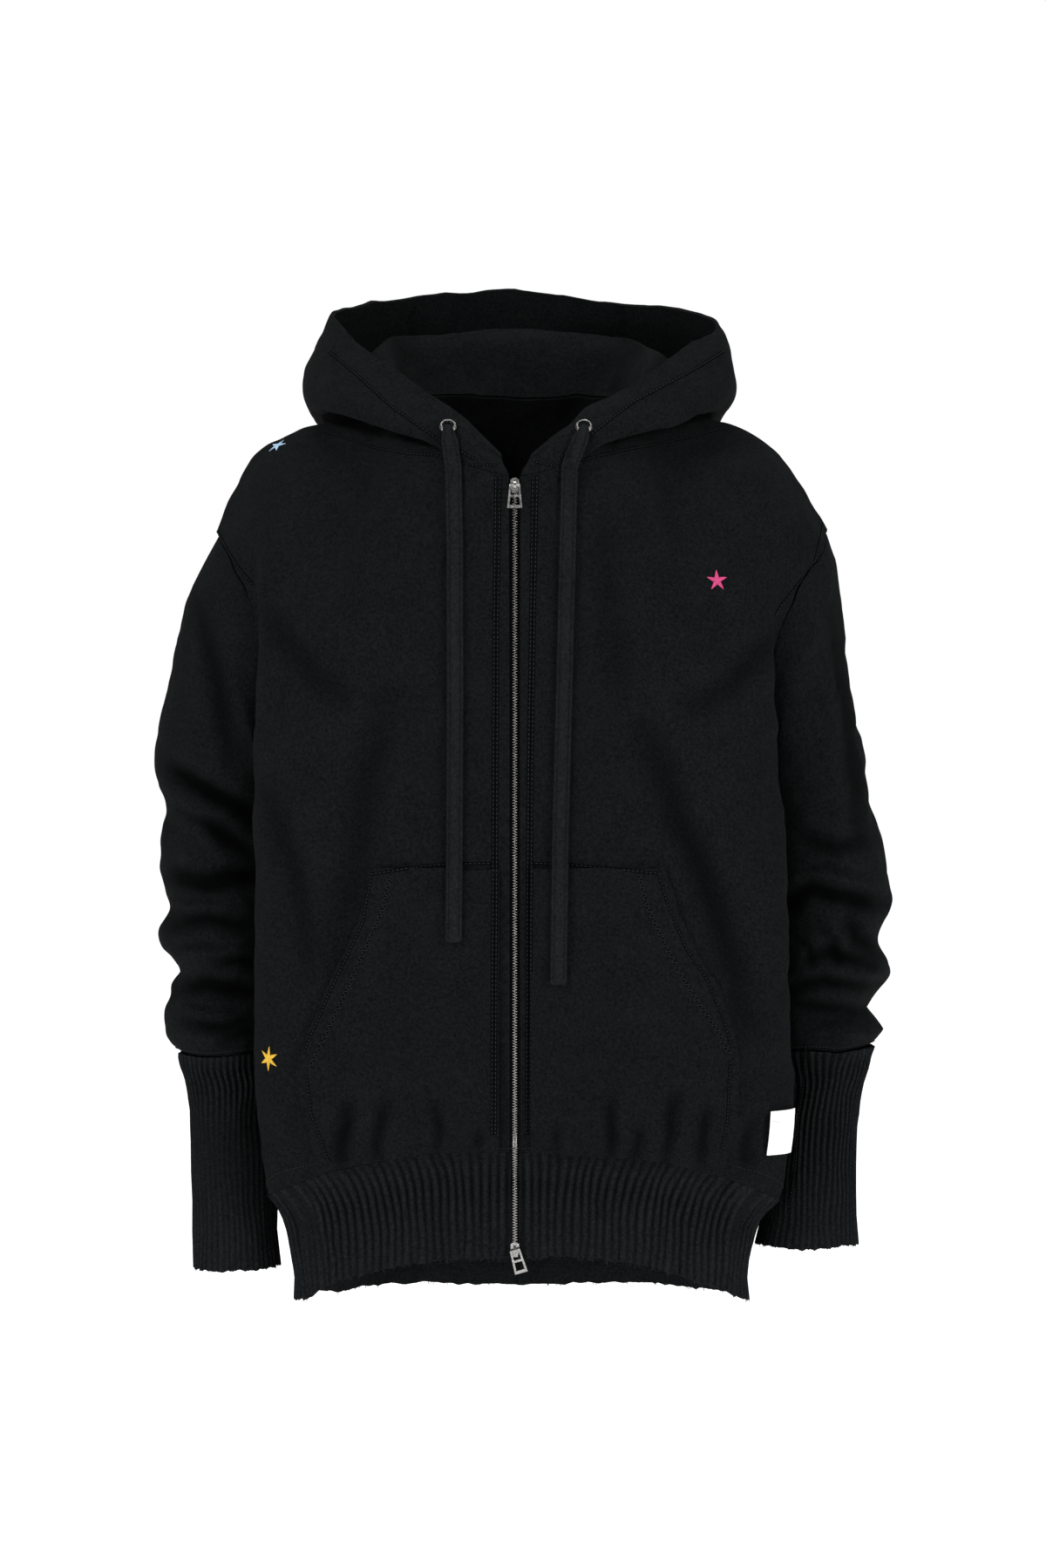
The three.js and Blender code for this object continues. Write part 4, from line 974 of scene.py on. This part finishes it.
def addStar(name, star):
    centre, normal = seatAt(dressed, viewpoint["eye"], sightLine(*star["pixel"]))[0]
    right = Vector((0, 0, 1)).cross(normal).normalized()
    up = normal.cross(right)
    places = []
    rows = int(star["radius"] / satin["pitch"])
    for petal in range(star["petals"]):
        angle = math.radians(star["turn"] + 360 * petal / star["petals"])
        out = right * math.cos(angle) + up * math.sin(angle)
        across = normal.cross(out)
        for row in range(1, rows + 1):
            part = row / rows
            swell = min(1, satin["root"] + satin["spread"] * part) * (1 - part ** satin["taper"])
            half = star["petalWidth"] / 2 * swell + satin["tip"]
            middle = dressed.find_nearest(centre + out * star["radius"] * part)[0]
            reach = across * half + out * half * satin["slant"]
            lift = satin["lift"] + satin["crown"] * (1 - part)
            places.append(beadPlace(middle - reach, middle + reach, normal, satin["width"],
                                    satin["height"], lift))
    setDown(name, bead, places, star["thread"])


for name, star in stars.items():
    addStar(name, star)

# Zip: one metal tooth, modelled once and set down on both sides in turn
teeth = {"pitch": 0.00225, "reach": 0.0025, "overlap": 0.0006, "height": 0.00072, "depth": 0.0021,
         "top": -0.0885, "bottom": -0.7095, "ahead": 0.004, "waistDeep": 0.84, "waistHigh": 0.8,
         "headHigh": 0.9, "middle": 0.1, "edge": 0.12, "sameLevel": 0.00002, "fullRing": 4}


def makeTooth():
    # A tooth a unit long along X, waisted behind its rounded head
    selectNone()
    bpy.ops.mesh.primitive_cube_add(size=1)
    tooth = bpy.context.object
    editAll()
    bpy.ops.mesh.subdivide(number_cuts=1)
    bpy.ops.object.mode_set(mode="OBJECT")
    for vertex in tooth.data.vertices:
        if abs(vertex.co.x) < teeth["middle"]:
            vertex.co.y *= teeth["waistDeep"]
            vertex.co.z *= teeth["waistHigh"]
        if vertex.co.x > teeth["middle"]:
            vertex.co.z *= teeth["headHigh"]
    selectOnly(tooth)
    rounding = tooth.modifiers.new("rounding", "BEVEL")
    rounding.width = teeth["edge"]
    rounding.segments = 1
    rounding.limit_method = "ANGLE"
    bpy.ops.object.modifier_apply(modifier=rounding.name)
    return tooth


def chainLine():
    # The chain's middle depth at each height, read from its solid
    points = pointsOf(frame["nodes"]["zip_chain"].data)
    heights = np.unique(np.round(points[:, 2], 5))
    depths = [points[np.abs(points[:, 2] - h) < teeth["sameLevel"]][:, 1] for h in heights]
    usable = [i for i, d in enumerate(depths) if len(d) >= teeth["fullRing"]]
    return heights[usable], np.array([middleOf(depths[i]) for i in usable])


def addTeeth():
    heights, depths = chainLine()
    tooth = makeTooth()
    places = []
    z = teeth["top"]
    side = 1
    while z > teeth["bottom"]:
        y = float(np.interp(z, heights, depths))
        ahead = float(np.interp(z - teeth["ahead"], heights, depths))
        down = Vector((0, ahead - y, -teeth["ahead"])).normalized()
        out = Vector((-side, 0, 0))
        depth = down.cross(out)
        place = Matrix((out * teeth["reach"], depth * teeth["depth"], down * teeth["height"]))
        place = place.transposed().to_4x4()
        place.translation = Vector((side * (teeth["reach"] / 2 - teeth["overlap"]), y, z))
        places.append(place)
        z += down.z * teeth["pitch"] / 2
        side = -side
    zipTeeth = setDown("zipTeeth", tooth, places, "nickel")
    dropBase(tooth)
    zipTeeth.data.polygons.foreach_set("use_smooth", [False] * len(zipTeeth.data.polygons))
    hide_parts("zip_chain")
    print("zip teeth:", len(places))


addTeeth()

# Drawcords: flat knitted cord that comes out of the eyelet and hangs down the chest
# The cord's sizes; "tone" and the span after it set the painted shade in its rib channels
cordSizes = {"width": 0.014, "thick": 0.0036, "ribs": 5, "ribDepth": 0.0006, "neckWidth": 0.0078,
             "neckFrom": 0.003, "neckLength": 0.016, "clear": 0.0007, "step": 0.0026, "section": 44,
             "square": 0.55, "endShare": 0.7, "hangSteps": 16, "smoothings": 4, "tone": 0.5, "shadeSpan": 0.6,
             "across": (-0.0066, -0.0033, 0, 0.0033, 0.0066), "bridges": (0.3, 0.6, 0.85)}
tack = {"length": 0.0045, "bulge": 0.0006, "pitch": 0.0011, "level": 0.6, "ripple": 0.4, "sideShare": 0.5}
# Steps out of an eyelet, from its middle: behind it, through it and down over its rim
cordExit = [(0, 0.0015, 0), (0, -0.0026, -0.0006), (0, -0.0058, -0.0042)]
drawcords = {
    "drawcord_right": {"piece": "rightDrawcord", "eyelet": "eyelet_right", "route": [
        (-0.0500, -0.070), (-0.0487, -0.130), (-0.0484, -0.250), (-0.0489, -0.360), (-0.0496, -0.4565)]},
    "drawcord_left": {"piece": "leftDrawcord", "eyelet": "eyelet_left", "route": [
        (0.0446, -0.070), (0.0431, -0.130), (0.0402, -0.250), (0.0371, -0.370), (0.0355, -0.4915)]},
}


def clothDepth(x, z):
    # The foremost cloth across the cord's width at a place on the chest
    found = []
    for offset in cordSizes["across"]:
        found += seatAt(dressed, Vector((x + offset, -1, z)), Vector((0, 1, 0)))
    return min(place.y for place, normal in found)


def cordDepth(x, z):
    return clothDepth(x, z) - cordSizes["thick"] / 2 - cordSizes["clear"]


def cordPath(cord):
    low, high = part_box(cord["eyelet"])
    eye = (Vector(low) + Vector(high)) / 2
    places = between(cord["route"], cordSizes["hangSteps"]) + [cord["route"][-1]]
    hung = [Vector((x, cordDepth(x, z), z)) for x, z in places]
    for turn in range(cordSizes["smoothings"]):
        smooth = [p.copy() for p in hung]
        for i in range(1, len(hung) - 1):
            smooth[i].y = min(hung[i].y, (hung[i - 1].y + hung[i].y + hung[i + 1].y) / 3)
            smooth[i].x = (hung[i - 1].x + 2 * hung[i].x + hung[i + 1].x) / 4
        hung = smooth
    lead = [eye + Vector(step) for step in cordExit]
    over = lead[-1]
    for part in cordSizes["bridges"]:
        bridge = over.lerp(hung[0], part)
        bridge.y = min(bridge.y, cordDepth(bridge.x, bridge.z))
        lead.append(bridge)
    return evenly(rounded(lead + hung), cordSizes["step"])


def rounded(points):
    # Corner cutting, twice, with both ends kept
    for turn in range(2):
        cut = [points[0]]
        for a, b in zip(points[:-1], points[1:]):
            cut += [a.lerp(b, 0.25), a.lerp(b, 0.75)]
        points = cut + [points[-1]]
    return points


def softened(value):
    # A rounded square's side in place of a circle's
    return math.copysign(abs(value) ** cordSizes["square"], value)


def cordRing(point, along, done, toEnd, isEnd):
    # One section of the cord: ribbed, narrow in the eyelet, barred with stitches at its end, with painted
    # shade down its rib channels
    count = cordSizes["section"]
    side = Vector((1, 0, 0))
    side = (side - along * side.dot(along)).normalized()
    thick = along.cross(side).normalized()
    opened = min(1, max(0, (done - cordSizes["neckFrom"]) / cordSizes["neckLength"]))
    opened = opened * opened * (3 - 2 * opened)
    width = cordSizes["neckWidth"] + (cordSizes["width"] - cordSizes["neckWidth"]) * opened
    bulge = 0
    if toEnd < tack["length"]:
        ripple = tack["ripple"] * math.cos(toEnd / tack["pitch"] * 2 * math.pi)
        bulge = tack["bulge"] * (tack["level"] + ripple)
    share = cordSizes["endShare"] if isEnd else 1
    vertices = []
    channelShade = []
    for corner in range(count):
        angle = 2 * math.pi * corner / count
        across = softened(math.cos(angle)) * (width / 2 * share + bulge * tack["sideShare"])
        rib = cordSizes["ribDepth"]
        if bulge == 0:
            rib *= 0.5 + 0.5 * math.cos(2 * math.pi * cordSizes["ribs"] * across / width)
        # Painted shade: darker down in the rib channels, none on the crests or the end tack
        channelShade.append(cordSizes["tone"] - rib / cordSizes["ribDepth"] * cordSizes["shadeSpan"])
        half = (cordSizes["thick"] / 2 - cordSizes["ribDepth"] + rib) * share + bulge
        vertices.append(point + side * across + thick * softened(math.sin(angle)) * half)
    return vertices, channelShade


def addDrawcord(nodeName, cord):
    path = cordPath(cord)
    vertices = []
    channelShade = []
    done = 0.0
    whole = sum((b - a).length for a, b in zip(path[:-1], path[1:]))
    last = len(path) - 1
    for index, point in enumerate(path):
        along = (path[min(index + 1, last)] - path[max(index - 1, 0)]).normalized()
        if index:
            done += (point - path[index - 1]).length
        ring, tones = cordRing(point, along, done, whole - done, index in (0, last))
        vertices += ring
        channelShade += tones
    piece = pieceFrom(cord["piece"], vertices, tubeFaces(len(path), cordSizes["section"]), "cord")
    turnFacesOut(piece)
    wrapMap(piece)
    markPaintedShade(piece, np.array(channelShade))
    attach(piece, "garment")
    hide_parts(nodeName)
    print(cord["piece"], "length", round(whole, 4))


for nodeName, cord in drawcords.items():
    addDrawcord(nodeName, cord)

dropBase(bead)


# Floor, backdrop and lights
studio = {"floorZ": -1.06, "floorSize": 30, "glow": 0.68, "white": 1.0, "fill": 0.38}
lights = {
    "keyLight": {"place": (-2.6, -2.2, 2.0), "target": (0, 0, -0.3), "size": 1.0, "power": 110},
    "sideLight": {"place": (2.8, -2.0, 1.0), "target": (0, 0, -0.4), "size": 1.2, "power": 92},
    "topLight": {"place": (0, 0.9, 2.6), "target": (0, 0, -0.3), "size": 1.6, "power": 60},
    "lowLight": {"place": (-1.7, -2.9, -0.8), "target": (-0.1, 0, -0.5), "size": 1.4, "power": 30},
}


def addStage():
    selectNone()
    bpy.ops.mesh.primitive_plane_add(size=studio["floorSize"], location=(0, 0, studio["floorZ"]))
    floor = bpy.context.object
    floor.name = "studioFloor"
    bpy.ops.object.transform_apply(location=True, rotation=True, scale=True)
    material, nodes, links, shader, place = newMaterial("paleFloor", rough=0.9, specular=0.1)
    grain = noiseAt(nodes, links, place, scale=6.0, detail=2.0)
    tone = toneRamp(nodes, links, grain, dark=(0.9,) * 3, light=(0.93,) * 3)
    links.new(tone, shader.inputs["Base Color"])
    shader.inputs["Emission Color"].default_value = (1, 1, 1, 1)
    shader.inputs["Emission Strength"].default_value = studio["glow"]
    floor.data.materials.append(material)


def addWorld():
    # A white room to look at, and a softer white to light by
    world = bpy.data.worlds.new("softWorld")
    world.use_nodes = True
    nodes = world.node_tree.nodes
    links = world.node_tree.links
    room = nodes["Background"]
    room.inputs["Color"].default_value = (1, 1, 1, 1)
    room.inputs["Strength"].default_value = studio["white"]
    glow = addNode(nodes, "ShaderNodeBackground", Strength=studio["fill"])
    glow.inputs["Color"].default_value = (1, 1, 1, 1)
    seen = nodes.new("ShaderNodeLightPath")
    both = nodes.new("ShaderNodeMixShader")
    links.new(seen.outputs["Is Camera Ray"], both.inputs["Fac"])
    links.new(glow.outputs["Background"], both.inputs[1])
    links.new(room.outputs["Background"], both.inputs[2])
    links.new(both.outputs["Shader"], nodes["World Output"].inputs["Surface"])
    bpy.context.scene.world = world


def addLight(name, place, target, size, power):
    data = bpy.data.lights.new(name, "AREA")
    data.shape = "SQUARE"
    data.size = size
    data.energy = power
    light = addObject(name, data)
    light.location = place
    light.rotation_euler = (Vector(target) - Vector(place)).to_track_quat("-Z", "Y").to_euler()


addStage()
addWorld()
for name, light in lights.items():
    addLight(name, **light)
bpy.context.scene.view_settings.view_transform = "Standard"
